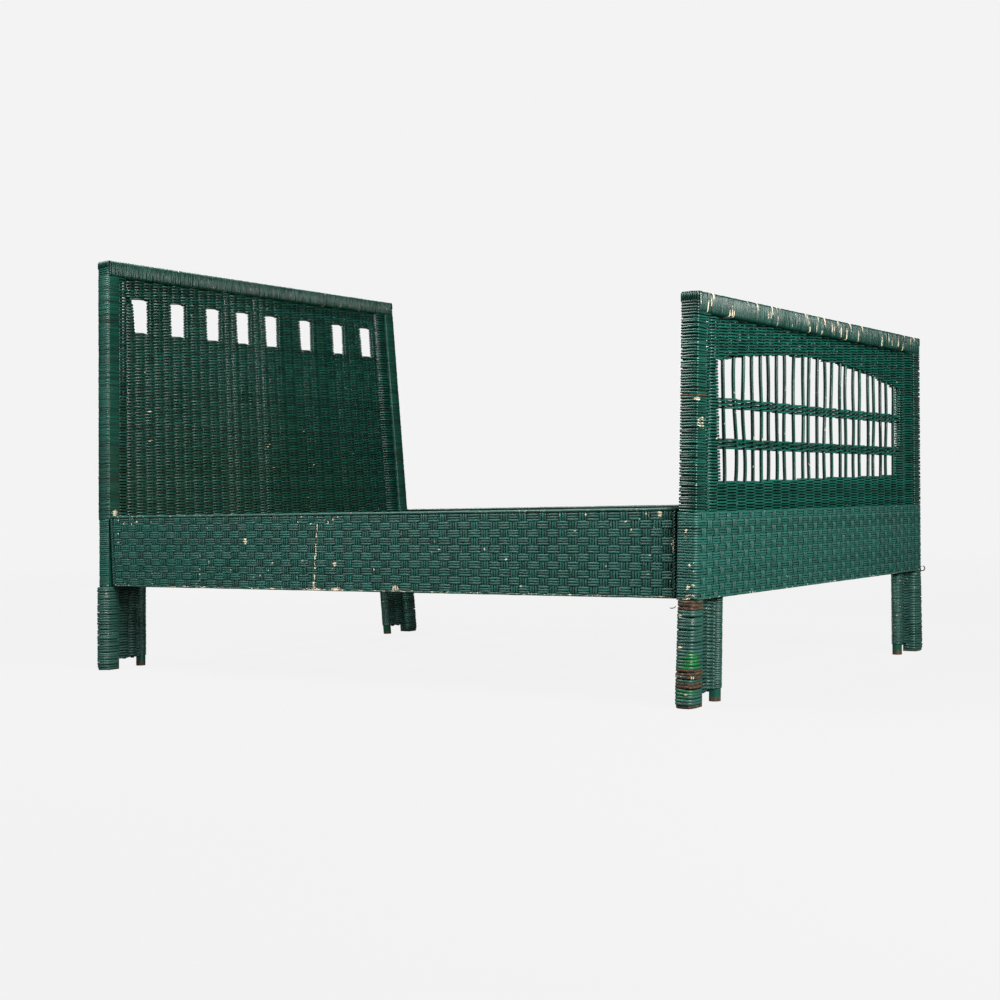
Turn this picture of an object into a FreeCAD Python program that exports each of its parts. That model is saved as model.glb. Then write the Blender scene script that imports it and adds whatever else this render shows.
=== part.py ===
import FreeCAD, Part
import os
import Sketcher

# Painted cane bed: two woven end boards on wrapped posts, two plaited side rails and loose slats.
# Frame: origin on the floor at the middle, X from head to foot, Y across the bed, Z up, in millimetres.
# Each end board is drawn upright in its own y, z plane, then leans outwards by its rake.

Vector = FreeCAD.Vector
doc = FreeCAD.newDocument("cane_bed")
sheet = doc.addObject("Spreadsheet::Sheet", "Sizes")

driving_sizes = {
    "overall_length": 2060,        # over the tops of both leaning boards
    "overall_width": 1512,         # over the wrapped legs at the floor
    "head_height": 1236,
    "foot_height": 957,
    "head_rake": 1.84,             # outward lean of the board, degrees
    "foot_rake": 1.2,
    "head_taper": 2.9,             # inward lean of its posts, degrees
    "foot_taper": 1.47,
    "post_size": 40,               # wooden core of a main post, square
    "top_rail_size": 40,           # wooden core of a top rail, square
    "wrap": 4,                     # thickness of wound or plaited cane over the wood
    "wrap_corner": 7,              # outer corner radius of the wound cane
    "fit": 0.3,                    # clearance between pieces that slide together
    "leg_trim": 3,                 # leg stock below the floor line, sawn off level
    "floor_cut": 12,               # depth of the saw cut that levels them
    "leg_tip": 8,                  # bare wood below the wound leg
    "apron_low": 247,              # underside of the bottom rail and of its plaited apron
    "apron_high": 449,
    "bottom_rail_height": 28,
    "inner_leg": 28,               # diameter of the slim leg beside each post
    "inner_leg_inset": 149,        # its axis, from the board's outer edge
    "web_low": 30,                 # lower edge of the woven web between the two legs
    "web_thickness": 10,
    "panel_thickness": 12,         # woven panel, stakes included
    "stake": 8,                    # diameter of the upright stakes
    "stake_socket": 12,            # depth of their holes in the rails
    "tenon_length": 24,
    "tenon_thickness": 14,
    "tenon_shoulder": 6,
    "board_tenon_length": 15,
    "board_tenon_thickness": 7,
    "board_tenon_shoulder": 30,
    "post_dowel": 16,              # round tenon on top of each post
    "post_dowel_length": 20,
    "leg_dowel": 14,               # round tenon on top of each slim leg
    "leg_dowel_length": 15,
    "head_stake_margin": 23.7,     # from the wound post to the last stake of the head panel
    "head_stake_shift": 35,        # most that a head stake stands off its even place, to the near side
    "window_width": 66,            # head panel windows
    "window_height": 106,
    "window_drop": 104,            # their tops, below the top of the board
    "foot_stake_margin": 20.3,     # from the wound post to the last stake of the foot panel
    "opening_inset": 151,          # arched opening round the foot grille, from the outer edge at the floor
    "opening_low": 517,
    "opening_drop": 151,           # where the arch leaves the sides, below the top of the board
    "opening_rise": 49,
    "opening_corner": 34,
    "band_height": 25,             # twined bands across the grille
    "band_thickness": 12,
    "upper_band_sag": 7.3,         # below its even place in the opening
    "rail_low": 249,               # plaited side rail
    "rail_high": 460,
    "rail_inset": 28,              # its outer face, from the board's outer edge
    "rail_board": 22,
    "bead_height": 8,
    "bead_corner": 3.5,
    "ledger_width": 30,
    "ledger_height": 40,
    "ledger_lift": 10,             # above the lower edge of the rail's wooden board
    "ledger_end_gap": 38,          # from each end of the rail
    "slat_width": 110,
    "slat_thickness": 20,
    "slat_margin": 39,             # from the end of the ledger to the first slat
    "slat_end_gap": 2,
    "notch_depth": 12,
    "plate_thickness": 2.5,        # steel rail fittings
    "plate_width": 18,
    "plate_margin_low": 32,        # from the edges of the rail's wooden board
    "plate_margin_high": 27,
    "plate_gap": 0.5,
    "hook_thickness": 4,
    "hook_stem": 12,               # height of the part of a hook that sits in its slot
    "hook_drop": 10,               # how far its tip hangs behind the post plate
    "hook_tip": 5,
    "hook_inset": 34,              # stem underside, from each end of the plate
    "screw": 4,
    "screw_head": 7,
    "screw_head_depth": 1.5,
    "screw_length": 24,
    "screw_inset": 9,              # plate screws, from each end of the plate
    "ledger_screw_length": 42,
    "ledger_screw_margin": 140,    # from the end of the ledger to the first screw
}
window_count = 8
stakes_per_window = 4
shift_stake = 2                    # the window stake that stands off most, counted from the middle stake
shift_reach = 2                    # windows to each side of it over which the stakes come back to even
head_stake_count = 16              # to each side of the middle one
foot_stake_count = 13
slat_count = 8
ledger_screw_count = 7
tiny = 0.01                        # two places closer than this are the same
sides = {"near": -1, "far": 1}
outward = {"head": -1, "foot": 1}

for row, (alias, value) in enumerate(driving_sizes.items(), start=1):
    sheet.set(f"A{row}", str(value))
    sheet.setAlias(f"A{row}", alias)
doc.recompute()


def size(alias):
    return f"Sizes.{alias}"


def number(expression):
    result = sheet.evalExpression(str(expression))
    return float(getattr(result, "Value", result))


def span(sign, low, high):
    if sign > 0:
        return f"({low})", f"({high})"
    return f"-({high})", f"-({low})"


def angle(board, kind):
    return f"{size(board + '_' + kind)} * 1 deg"


def edge(board, height, inset):
    # distance from the middle to a line that leans in with the posts
    lean = f"({height}) * tan({angle(board, 'taper')})"
    return f"({size('overall_width')} / 2 - ({inset}) - {lean})"


# Shared levels and depths, written once from the driving sizes
half_post = f"({size('post_size')} / 2)"
half_panel = f"({size('panel_thickness')} / 2)"
skin_face = f"({half_post} + {size('wrap')})"
post_inner = f"({size('wrap')} + {size('post_size')})"
wrap_inner = f"({post_inner} + {size('wrap')})"
post_middle = f"({size('wrap')} + {half_post})"
below_floor = f"(-{size('leg_trim')})"
bottom_rail_high = f"({size('apron_low')} + {size('bottom_rail_height')})"
bore_size = f"({size('stake')} + 2 * {size('fit')})"
opening_half = f"({size('overall_width')} / 2 - {size('opening_inset')})"
rail_face = f"({size('overall_width')} / 2 - {size('rail_inset')})"
rail_board_outer = f"({rail_face} - {size('wrap')})"
rail_board_inner = f"({rail_board_outer} - {size('rail_board')})"
rail_board_low = f"({size('rail_low')} + {size('wrap')})"
rail_board_high = f"({size('rail_high')} - {size('bead_height')})"
rail_end_gap = f"(2 * {size('plate_thickness')} + {size('plate_gap')})"
ledger_low = f"({rail_board_low} + {size('ledger_lift')})"
ledger_high = f"({ledger_low} + {size('ledger_height')})"
plate_middle = f"({rail_board_outer} - {size('rail_board')} / 2)"
plate_low = f"({rail_board_low} + {size('plate_margin_low')})"
plate_high = f"({rail_board_high} - {size('plate_margin_high')})"
window_high = f"({size('head_height')} - {size('window_drop')})"
window_low = f"({window_high} - {size('window_height')})"
opening_spring = f"({size('foot_height')} - {size('opening_drop')})"
band_gap = f"(({opening_spring} - {size('opening_low')} - 2 * {size('band_height')}) / 3)"
lower_band_low = f"({size('opening_low')} + {band_gap})"
upper_band_low = f"({lower_band_low} + {size('band_height')} + {band_gap} - {size('upper_band_sag')})"


def height(board):
    return size(board + "_height")


def top_rail_high(board):
    return f"({height(board)} - {size('wrap')})"


def top_rail_low(board):
    return f"({top_rail_high(board)} - {size('top_rail_size')})"


def wrap_low(board):
    return f"({top_rail_low(board)} - {size('wrap')})"


def board_x(board):
    # the board's middle plane at the floor, so that both leaning tops reach the overall length
    corner = size("wrap_corner")
    depth = f"({skin_face} - {corner}) * cos({angle(board, 'rake')})"
    reach = f"({height(board)} - {corner}) * sin({angle(board, 'rake')})"
    sign = outward[board]
    return f"({sign} * ({size('overall_length')} / 2 - {depth} - {reach} - {corner}))"


def bind(thing, path, expression):
    thing.setExpression(path, str(expression))


def stand(thing, board):
    # lean a board's piece outwards about the floor line
    thing.Placement = FreeCAD.Placement(Vector(0, 0, 0), FreeCAD.Rotation(Vector(0, 1, 0), 0))
    bind(thing, "Placement.Base.x", board_x(board))
    bind(thing, "Placement.Rotation.Angle", f"{outward[board]} * {angle(board, 'rake')}")


def new_body(name):
    return doc.addObject("PartDesign::Body", name)


def new_sketch(body, name, plane, offset):
    origin = [part for part in body.Origin.OriginFeatures if part.Role == plane][0]
    sketch = body.newObject("Sketcher::SketchObject", name)
    sketch.AttachmentSupport = [(origin, "")]
    sketch.MapMode = "FlatFace"
    bind(sketch, "AttachmentOffset.Base.z", offset)
    return sketch


def fix_point(sketch, line, place):
    for kind, expression in zip(("DistanceX", "DistanceY"), place):
        mark = sketch.addConstraint(Sketcher.Constraint(kind, -1, 1, line, 1, number(expression)))
        sketch.setExpression(f"Constraints[{mark}]", str(expression))


def add_outline(sketch, points):
    places = [Vector(number(y), number(z), 0) for y, z in points]
    count = len(points)
    first = sketch.GeometryCount
    for i in range(count):
        sketch.addGeometry(Part.LineSegment(places[i], places[(i + 1) % count]), False)
    for i in range(count):
        sketch.addConstraint(Sketcher.Constraint("Coincident", first + i, 2, first + (i + 1) % count, 1))
        fix_point(sketch, first + i, points[i])


def add_circle(sketch, place, diameter):
    centre = Vector(number(place[0]), number(place[1]), 0)
    ring = sketch.addGeometry(Part.Circle(centre, Vector(0, 0, 1), number(diameter) / 2), False)
    for kind, expression in zip(("DistanceX", "DistanceY"), place):
        mark = sketch.addConstraint(Sketcher.Constraint(kind, -1, 1, ring, 3, number(expression)))
        sketch.setExpression(f"Constraints[{mark}]", str(expression))
    mark = sketch.addConstraint(Sketcher.Constraint("Diameter", ring, number(diameter)))
    sketch.setExpression(f"Constraints[{mark}]", str(diameter))


def add_arched_outline(sketch, half, low, spring, rise):
    # a rectangle whose top edge is one arc
    corners = [(f"-({half})", spring), (f"-({half})", low), (half, low), (half, spring)]
    places = [Vector(number(y), number(z), 0) for y, z in corners]
    first = sketch.GeometryCount
    for i in range(3):
        sketch.addGeometry(Part.LineSegment(places[i], places[i + 1]), False)
    crown = Vector(0, number(spring) + number(rise), 0)
    arch = sketch.addGeometry(Part.Arc(places[3], crown, places[0]), False)
    for i in range(2):
        sketch.addConstraint(Sketcher.Constraint("Coincident", first + i, 2, first + i + 1, 1))
    sketch.addConstraint(Sketcher.Constraint("Coincident", first + 2, 2, arch, 1))
    sketch.addConstraint(Sketcher.Constraint("Coincident", arch, 2, first, 1))
    for i in range(3):
        fix_point(sketch, first + i, corners[i])
    for kind, expression in zip(("DistanceX", "DistanceY"), corners[3]):
        mark = sketch.addConstraint(Sketcher.Constraint(kind, -1, 1, first + 2, 2, number(expression)))
        sketch.setExpression(f"Constraints[{mark}]", str(expression))
    radius = f"(({half})^2 + ({rise})^2) / (2 * ({rise}))"
    mark = sketch.addConstraint(Sketcher.Constraint("Radius", arch, number(radius)))
    sketch.setExpression(f"Constraints[{mark}]", radius)


def raise_sketch(body, sketch, length, cut=False, lean=None):
    # pad a sketch along its normal, or cut it away the same way; lean tilts a pad in y
    before = body.Shape.Volume if cut else 0
    feature = body.newObject("PartDesign::Pocket" if cut else "PartDesign::Pad", sketch.Name + "_run")
    feature.Profile = sketch
    feature.Reversed = cut
    bind(feature, "Length", length)
    if lean is not None:
        feature.UseCustomVector = True
        feature.AlongSketchNormal = True
        feature.Direction = Vector(0, number(lean), 1)
        bind(feature, "Direction.y", lean)
    doc.recompute()
    if cut and body.Shape.Volume >= before:
        raise RuntimeError(sketch.Name + " cuts nothing")
    return feature


def slab(body, name, outlines, x_low, x_high, cut=False):
    # flat stock drawn in elevation (y, z), from x_low to x_high
    sketch = new_sketch(body, name, "YZ_Plane", x_low)
    for points in outlines:
        add_outline(sketch, points)
    return raise_sketch(body, sketch, f"({x_high}) - ({x_low})", cut)


def profile(body, name, outlines, y_low, y_high, cut=False):
    # stock drawn from the side (x, z), from y_low to y_high
    sketch = new_sketch(body, name, "XZ_Plane", f"-({y_high})")
    for points in outlines:
        add_outline(sketch, points)
    return raise_sketch(body, sketch, f"({y_high}) - ({y_low})", cut)


def plan(body, name, outlines, circles, z_low, z_high, lean=None):
    # stock drawn in plan (x, y), from z_low to z_high
    sketch = new_sketch(body, name, "XY_Plane", z_low)
    for points in outlines:
        add_outline(sketch, points)
    for place, diameter in circles:
        add_circle(sketch, place, diameter)
    return raise_sketch(body, sketch, f"({z_high}) - ({z_low})", False, lean)


def round_edges(body, feature, name, radius, wanted):
    edges = [f"Edge{i}" for i, line in enumerate(feature.Shape.Edges, start=1) if wanted(line)]
    rounding = body.newObject("PartDesign::Fillet", name)
    rounding.Base = (feature, edges)
    bind(rounding, "Radius", radius)
    doc.recompute()


def runs_along(line, axis):
    step = line.Vertexes[-1].Point - line.Vertexes[0].Point
    return abs(step.Length - abs(getattr(step, axis.lower()))) < tiny


def starts_at(line, corners, level):
    # an upright edge that rises from one of the corners
    foot = min((vertex.Point for vertex in line.Vertexes), key=lambda point: point.z)
    head = max((vertex.Point for vertex in line.Vertexes), key=lambda point: point.z)
    return head.z - foot.z > tiny and any((foot - Vector(x, y, level)).Length < tiny for x, y in corners)


def rectangle(a, b):
    (a_low, a_high), (b_low, b_high) = a, b
    return [(a_low, b_low), (a_high, b_low), (a_high, b_high), (a_low, b_high)]


def trapezoid(board, inset, low, high):
    # full width of a board between two levels, its ends leaning with the posts
    wide, narrow = edge(board, low, inset), edge(board, high, inset)
    return [(f"-{wide}", low), (wide, low), (narrow, high), (f"-{narrow}", high)]


def leaning_strip(board, side, inset, width, low, high):
    # upright strip that leans with the posts, on one side of a board
    outer_low, outer_high = edge(board, low, inset), edge(board, high, inset)
    inner_low, inner_high = edge(board, low, f"{inset} + {width}"), edge(board, high, f"{inset} + {width}")
    strip = [(inner_low, low), (outer_low, low), (outer_high, high), (inner_high, high)]
    return [(f"{side} * {y}", z) for y, z in strip]


def block(name, x, y, z):
    box = doc.addObject("Part::Box", name)
    for part, axis, (low, high) in zip(("Length", "Width", "Height"), "xyz", (x, y, z)):
        bind(box, part, f"({high}) - ({low})")
        bind(box, f"Placement.Base.{axis}", low)
    return box


def rod(name, diameter, length, base, turn_axis=(1, 0, 0), turn="0 deg"):
    cylinder = doc.addObject("Part::Cylinder", name)
    cylinder.Placement = FreeCAD.Placement(Vector(0, 0, 0), FreeCAD.Rotation(Vector(*turn_axis), 0))
    bind(cylinder, "Radius", f"({diameter}) / 2")
    bind(cylinder, "Height", length)
    for axis, expression in zip("xyz", base):
        bind(cylinder, f"Placement.Base.{axis}", expression)
    bind(cylinder, "Placement.Rotation.Angle", turn)
    return cylinder


def group(name, members):
    cluster = doc.addObject("Part::Compound", name)
    cluster.Links = members
    return cluster


def carve(name, base, tool):
    result = doc.addObject("Part::Cut", name)
    result.Base = base
    result.Tool = tool
    return result


def join(name, base, tool):
    result = doc.addObject("Part::Fuse", name)
    result.Base = base
    result.Tool = tool
    return result


pieces = []


def keep(thing, label, board=None):
    thing.Label = label
    if board:
        stand(thing, board)
    pieces.append(thing)


def make_floor(board):
    # everything below the floor line, as seen from the leaning board
    slope = f"{outward[board]} * tan({angle(board, 'rake')})"
    depth = size("floor_cut")
    half_width = f"({size('overall_width')} / 2)"
    inner, outer = f"-{skin_face}", skin_face
    points = [(inner, f"({inner}) * {slope}"), (outer, f"({outer}) * {slope}"),
              (outer, f"-{depth}"), (inner, f"-{depth}")]
    body = new_body(board + "_floor")
    profile(body, board + "_floor_side", [points], f"-{half_width}", half_width)
    return body


def shift_share(place):
    # the head stakes were set by eye: the three that hold a window stand off together, and the stake
    # between two windows is midway
    offset = place - shift_stake
    windows = (offset + 1) // stakes_per_window, -((1 - offset) // stakes_per_window)
    return sum(max(0, 1 - abs(window) / shift_reach) for window in windows) / len(windows)


def stake_middle(board, place, pitch):
    shift = f"{shift_share(place)} * {size('head_stake_shift')}" if board == "head" else "0"
    return f"({place} * ({pitch}) - {shift})"


def stake_lines(board, each_side, pitch, level):
    # fan of upright stakes: their places at one level, closing up with the posts above it
    for place in range(-each_side, each_side + 1):
        yield place, f"({stake_middle(board, place, pitch)} / {edge(board, level, 0)})"


def stake_rods(board, name, diameter, lines, low, high):
    rods = []
    for place, share in lines:
        tilt = f"atan({share} * tan({angle(board, 'taper')}))"
        base = ("0", f"{share} * {edge(board, low, 0)}", low)
        length = f"(({high}) - ({low})) / cos({tilt})"
        rods.append(rod(f"{name}_{place}", diameter, length, base, (1, 0, 0), tilt))
    return rods


def make_board_frame(board, floor, bores):
    out = outward[board]
    lean = f"tan({angle(board, 'taper')})"
    post_top = top_rail_low(board)
    rail_middle = f"({size('apron_low')} + {size('bottom_rail_height')} / 2)"
    rail_tenon = f"({edge(board, rail_middle, post_inner)} + {size('tenon_length')})"
    board_high = f"({size('apron_high')} - {size('wrap')})"
    board_middle = f"(({bottom_rail_high} + {board_high}) / 2)"
    board_tenon = f"({edge(board, board_middle, post_inner)} + {size('board_tenon_length')})"
    rail_tenon_z = (f"{size('apron_low')} + {size('tenon_shoulder')}",
                    f"{bottom_rail_high} - {size('tenon_shoulder')}")
    board_tenon_z = (f"{bottom_rail_high} + {size('board_tenon_shoulder')}",
                     f"{board_high} - {size('board_tenon_shoulder')}")
    board_inner = f"({half_panel} + {size('fit')})"
    board_core = f"(({board_inner} + {half_post}) / 2)"
    rail_tenon_x = span(out, f"-{size('tenon_thickness')} / 2", f"{size('tenon_thickness')} / 2")
    board_tenon_x = span(out, f"{board_core} - {size('board_tenon_thickness')} / 2",
                         f"{board_core} + {size('board_tenon_thickness')} / 2")

    # bottom rail, tenoned into both posts
    body = new_body(board + "_bottom_rail_stock")
    slab(body, board + "_bottom_rail_face",
         [trapezoid(board, post_inner, size("apron_low"), bottom_rail_high)],
         *span(out, f"-{size('inner_leg')} / 2", half_post))
    slab(body, board + "_bottom_rail_tenons", [rectangle((f"-{rail_tenon}", rail_tenon), rail_tenon_z)],
         *rail_tenon_x)
    leg_holes = []
    for side in sides.values():
        leg_y = edge(board, size("apron_low"), size("inner_leg_inset"))
        base = ("0", f"{side} * {leg_y}", size("apron_low"))
        leg_holes.append(rod(f"{board}_leg_hole", f"{size('leg_dowel')} + 2 * {size('fit')}",
                             f"{size('leg_dowel_length')} + {size('fit')}", base))
    holes = group(board + "_bottom_rail_holes", leg_holes + [bores])
    keep(carve(board + "_bottom_rail_piece", body, holes), board + "_bottom_rail", board)

    # apron board, standing on the bottom rail with tenons of its own
    body = new_body(board + "_apron_board_stock")
    slab(body, board + "_apron_board_face", [trapezoid(board, f"{post_inner} + {size('fit')}",
                                                       bottom_rail_high, board_high)],
         *span(out, board_inner, half_post))
    slab(body, board + "_apron_board_tenons", [rectangle((f"-{board_tenon}", board_tenon), board_tenon_z)],
         *board_tenon_x)
    keep(body, board + "_apron_board", board)

    # top rail over the posts
    body = new_body(board + "_top_rail_stock")
    slab(body, board + "_top_rail_face", [trapezoid(board, size("wrap"), post_top, top_rail_high(board))],
         f"-{half_post}", half_post)
    dowel_holes = []
    for side in sides.values():
        base = ("0", f"{side} * {edge(board, post_top, post_middle)}", post_top)
        dowel_holes.append(rod(f"{board}_dowel_hole", f"{size('post_dowel')} + 2 * {size('fit')}",
                               f"{size('post_dowel_length')} + {size('fit')}", base))
    holes = group(board + "_top_rail_holes", dowel_holes + [bores])
    keep(carve(board + "_top_rail_piece", body, holes), board + "_top_rail", board)

    for name, side in sides.items():
        # main post, leaning in, sawn level at the floor and doweled into the top rail
        body = new_body(f"{board}_post_stock_{name}")
        y_span = span(side, edge(board, below_floor, post_inner), edge(board, below_floor, size("wrap")))
        plan(body, f"{board}_post_plan_{name}", [rectangle((f"-{half_post}", half_post), y_span)], [],
             below_floor, post_top, f"{-side} * {lean}")
        dowel = (("0", f"{side} * {edge(board, post_top, post_middle)}"), size("post_dowel"))
        plan(body, f"{board}_post_dowel_{name}", [], [dowel],
             post_top, f"{post_top} + {size('post_dowel_length')}")
        fit = size("fit")
        inside = edge(board, size("apron_high"), f"{post_inner} + {size('wrap')}")
        mortises = []
        for label, (x_low, x_high), (z_low, z_high), end in (
                ("rail", rail_tenon_x, rail_tenon_z, rail_tenon),
                ("board", board_tenon_x, board_tenon_z, board_tenon)):
            mortises.append(block(f"{board}_{label}_mortise_{name}",
                                  (f"{x_low} - {fit}", f"{x_high} + {fit}"),
                                  span(side, inside, f"{end} + {fit}"),
                                  (f"{z_low} - {fit}", f"{z_high} + {fit}")))
        for which, (stem_low, stem_high) in enumerate(hook_stems()):
            mortises.append(block(f"{board}_hook_pocket_{name}_{which}",
                                  span(-out, f"{half_post} - {hook_pocket_depth()}", f"{half_post} + {fit}"),
                                  span(side, f"{plate_middle} - {hook_half()} - {fit}",
                                       f"{plate_middle} + {hook_half()} + {fit}"),
                                  (f"{stem_low} - {size('hook_drop')} - {fit}",
                                   f"{stem_high} + {size('hook_drop')} + {fit}")))
        mortises += plate_screw_rods(board, name, side, "post", fit)
        cuts = group(f"{board}_mortises_{name}", mortises + [floor])
        keep(carve(f"{board}_post_cut_{name}", body, cuts), f"{board}_post_{name}", board)

        # slim inner leg, doweled up into the bottom rail
        body = new_body(f"{board}_inner_leg_stock_{name}")
        foot_place = ("0", f"{side} * {edge(board, below_floor, size('inner_leg_inset'))}")
        plan(body, f"{board}_inner_leg_plan_{name}", [], [(foot_place, size("inner_leg"))],
             below_floor, size("apron_low"), f"{-side} * {lean}")
        top_place = ("0", f"{side} * {edge(board, size('apron_low'), size('inner_leg_inset'))}")
        plan(body, f"{board}_inner_leg_dowel_{name}", [], [(top_place, size("leg_dowel"))],
             size("apron_low"), f"{size('apron_low')} + {size('leg_dowel_length')}")
        keep(carve(f"{board}_inner_leg_cut_{name}", body, floor), f"{board}_inner_leg_{name}", board)


def make_board_cane(board, bores):
    out = outward[board]
    lean = f"tan({angle(board, 'taper')})"
    fit = size("fit")

    # wound cane round the top rail, closed over its ends and open above the posts
    body = new_body(board + "_top_rail_wrap_stock")
    outer = slab(body, board + "_top_wrap_face", [trapezoid(board, "0", wrap_low(board), height(board))],
                 f"-{skin_face}", skin_face)
    round_edges(body, outer, board + "_top_wrap_round", size("wrap_corner"),
                lambda line: runs_along(line, "Y"))
    slab(body, board + "_top_wrap_core",
         [trapezoid(board, size("wrap"), top_rail_low(board), top_rail_high(board))],
         f"-{half_post}", half_post, cut=True)
    seats = [leaning_strip(board, side, size("wrap"), size("post_size"),
                           wrap_low(board), top_rail_low(board))
             for side in sides.values()]
    slab(body, board + "_top_wrap_seats", seats, f"-{half_post}", half_post, cut=True)
    keep(carve(board + "_top_wrap_piece", body, bores), board + "_top_rail_wrap", board)

    # plaited apron: outer face, a return along the outside of each post and a lip over the board
    body = new_body(board + "_apron_skin")
    slab(body, board + "_apron_front", [trapezoid(board, "0", size("apron_low"), size("apron_high"))],
         *span(out, half_post, skin_face))
    returns = [leaning_strip(board, side, "0", size("wrap"), size("apron_low"), size("apron_high"))
               for side in sides.values()]
    slab(body, board + "_apron_returns", returns, *span(out, f"-{half_post}", half_post))
    lip_low = f"({size('apron_high')} - {size('wrap')})"
    slab(body, board + "_apron_lip",
         [trapezoid(board, f"{post_inner} + {fit}", lip_low, size("apron_high"))],
         *span(out, f"{half_panel} + {fit}", half_post))
    keep(body, board + "_apron", board)

    for name, side in sides.items():
        # wound sleeves on the post above the apron and on the leg below it
        post_levels = (f"({size('apron_high')} + {fit})", f"({wrap_low(board)} - {fit})")
        leg_levels = (size("leg_tip"), f"({size('apron_low')} - {fit})")
        for part, (low, high) in (("post_wrap", post_levels), ("leg_wrap", leg_levels)):
            body = new_body(f"{board}_{part}_sleeve_{name}")
            outer_y = span(side, edge(board, low, wrap_inner), edge(board, low, "0"))
            inner_y = span(side, edge(board, low, post_inner), edge(board, low, size("wrap")))
            outer = plan(body, f"{board}_{part}_plan_{name}",
                         [rectangle((f"-{skin_face}", skin_face), outer_y),
                          rectangle((f"-{half_post}", half_post), inner_y)], [],
                         low, high, f"{-side} * {lean}")
            corners = [(sx * number(skin_face), number(y)) for sx in (-1, 1) for y in outer_y]
            round_edges(body, outer, f"{board}_{part}_round_{name}", size("wrap_corner"),
                        lambda line: starts_at(line, corners, number(low)))
            keep(body, f"{board}_{part}_{name}", board)

        # woven web between the two legs, carried round the slim one
        body = new_body(f"{board}_web_stock_{name}")
        web_high = f"({size('apron_low')} - {fit})"
        half_web = f"({size('web_thickness')} / 2)"
        web_width = f"({size('inner_leg_inset')} - {wrap_inner} - {fit})"
        slab(body, f"{board}_web_face_{name}",
             [leaning_strip(board, side, f"({wrap_inner} + {fit})", web_width, size("web_low"), web_high)],
             f"-{half_web}", half_web)
        ring_place = ("0", f"{side} * {edge(board, size('web_low'), size('inner_leg_inset'))}")
        plan(body, f"{board}_web_ring_{name}", [],
             [(ring_place, f"{size('inner_leg')} + 2 * {fit} + 2 * {size('wrap')}")],
             size("web_low"), web_high, f"{-side} * {lean}")
        leg_base = ("0", f"{side} * {edge(board, '0', size('inner_leg_inset'))}", "0")
        passage = rod(f"{board}_web_bore_{name}", f"{size('inner_leg')} + 2 * {fit}",
                      f"{size('apron_low')} + {size('inner_leg')}", leg_base, (1, 0, 0),
                      f"{side} * {angle(board, 'taper')}")
        keep(carve(f"{board}_web_cut_{name}", body, passage), f"{board}_web_{name}", board)


def woven_panel(board):
    body = new_body(board + "_panel_stock")
    inset = f"{wrap_inner} + {size('fit')}"
    slab(body, board + "_panel_face", [trapezoid(board, inset, bottom_rail_high, wrap_low(board))],
         f"-{half_panel}", half_panel)
    return body


def stake_pitch(board, count, level):
    # the last stake on each side keeps its margin to the wound post
    return f"(({edge(board, level, wrap_inner)} - {size(board + '_stake_margin')}) / {count})"


def make_head_panel():
    level = f"(({window_low} + {window_high}) / 2)"
    pitch = stake_pitch("head", head_stake_count, level)
    centres = [round((i - (window_count - 1) / 2) * stakes_per_window) for i in range(window_count)]
    windows = []
    for centre in centres:
        middle = stake_middle("head", centre, pitch)
        half_window = f"{size('window_width')} / 2"
        windows.append(rectangle((f"{middle} - {half_window}", f"{middle} + {half_window}"),
                                 (window_low, window_high)))
    lines = list(stake_lines("head", head_stake_count, pitch, level))
    low = f"({bottom_rail_high} - {size('stake_socket')})"
    high = f"({top_rail_low('head')} + {size('stake_socket')})"
    bores = group("head_bores", stake_rods("head", "head_bore", bore_size, lines, low, high))
    body = woven_panel("head")
    slab(body, "head_windows", windows, f"-{half_panel}", half_panel, cut=True)
    keep(carve("head_panel_piece", body, bores), "head_panel", "head")

    # a stake that meets a window stops at its sill and starts again over its top
    broken = [line for line in lines if line[0] in centres]
    whole = [line for line in lines if line not in broken]
    rods = stake_rods("head", "head_stake", size("stake"), whole, low, high)
    rods += stake_rods("head", "head_stake_under", size("stake"), broken, low, window_low)
    rods += stake_rods("head", "head_stake_over", size("stake"), broken, window_high, high)
    keep(group("head_stake_group", rods), "head_stakes", "head")
    return bores


def make_foot_panel():
    level = f"({lower_band_low} + {size('band_height')} / 2)"
    pitch = stake_pitch("foot", foot_stake_count, level)
    lines = list(stake_lines("foot", foot_stake_count, pitch, level))
    low = f"({bottom_rail_high} - {size('stake_socket')})"
    high = f"({top_rail_low('foot')} + {size('stake_socket')})"
    bores = group("foot_bores", stake_rods("foot", "foot_bore", bore_size, lines, low, high))
    body = woven_panel("foot")
    sketch = new_sketch(body, "foot_opening", "YZ_Plane", f"-{half_panel}")
    add_arched_outline(sketch, opening_half, size("opening_low"),
                       opening_spring, size("opening_rise"))
    opening = raise_sketch(body, sketch, size("panel_thickness"), True)
    corner_y, corner_z = number(opening_half), number(size("opening_low"))
    round_edges(body, opening, "foot_opening_corners", size("opening_corner"),
                lambda line: runs_along(line, "X") and abs(abs(line.Vertexes[0].Y) - corner_y) < tiny
                and abs(line.Vertexes[0].Z - corner_z) < tiny)
    keep(carve("foot_panel_piece", body, bores), "foot_panel", "foot")
    keep(group("foot_upright_group", stake_rods("foot", "foot_upright", size("stake"), lines, low, high)),
         "foot_uprights", "foot")
    half_band = f"({size('band_thickness')} / 2)"
    reach = f"({opening_half} - {size('fit')})"
    for name, band_low in (("upper", upper_band_low), ("lower", lower_band_low)):
        body = new_body(f"foot_band_{name}_stock")
        slab(body, f"foot_band_{name}_face",
             [rectangle((f"-{reach}", reach), (band_low, f"{band_low} + {size('band_height')}"))],
             f"-{half_band}", half_band)
        keep(carve(f"foot_band_{name}_piece", body, bores), f"foot_band_{name}", "foot")
    return bores


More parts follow.
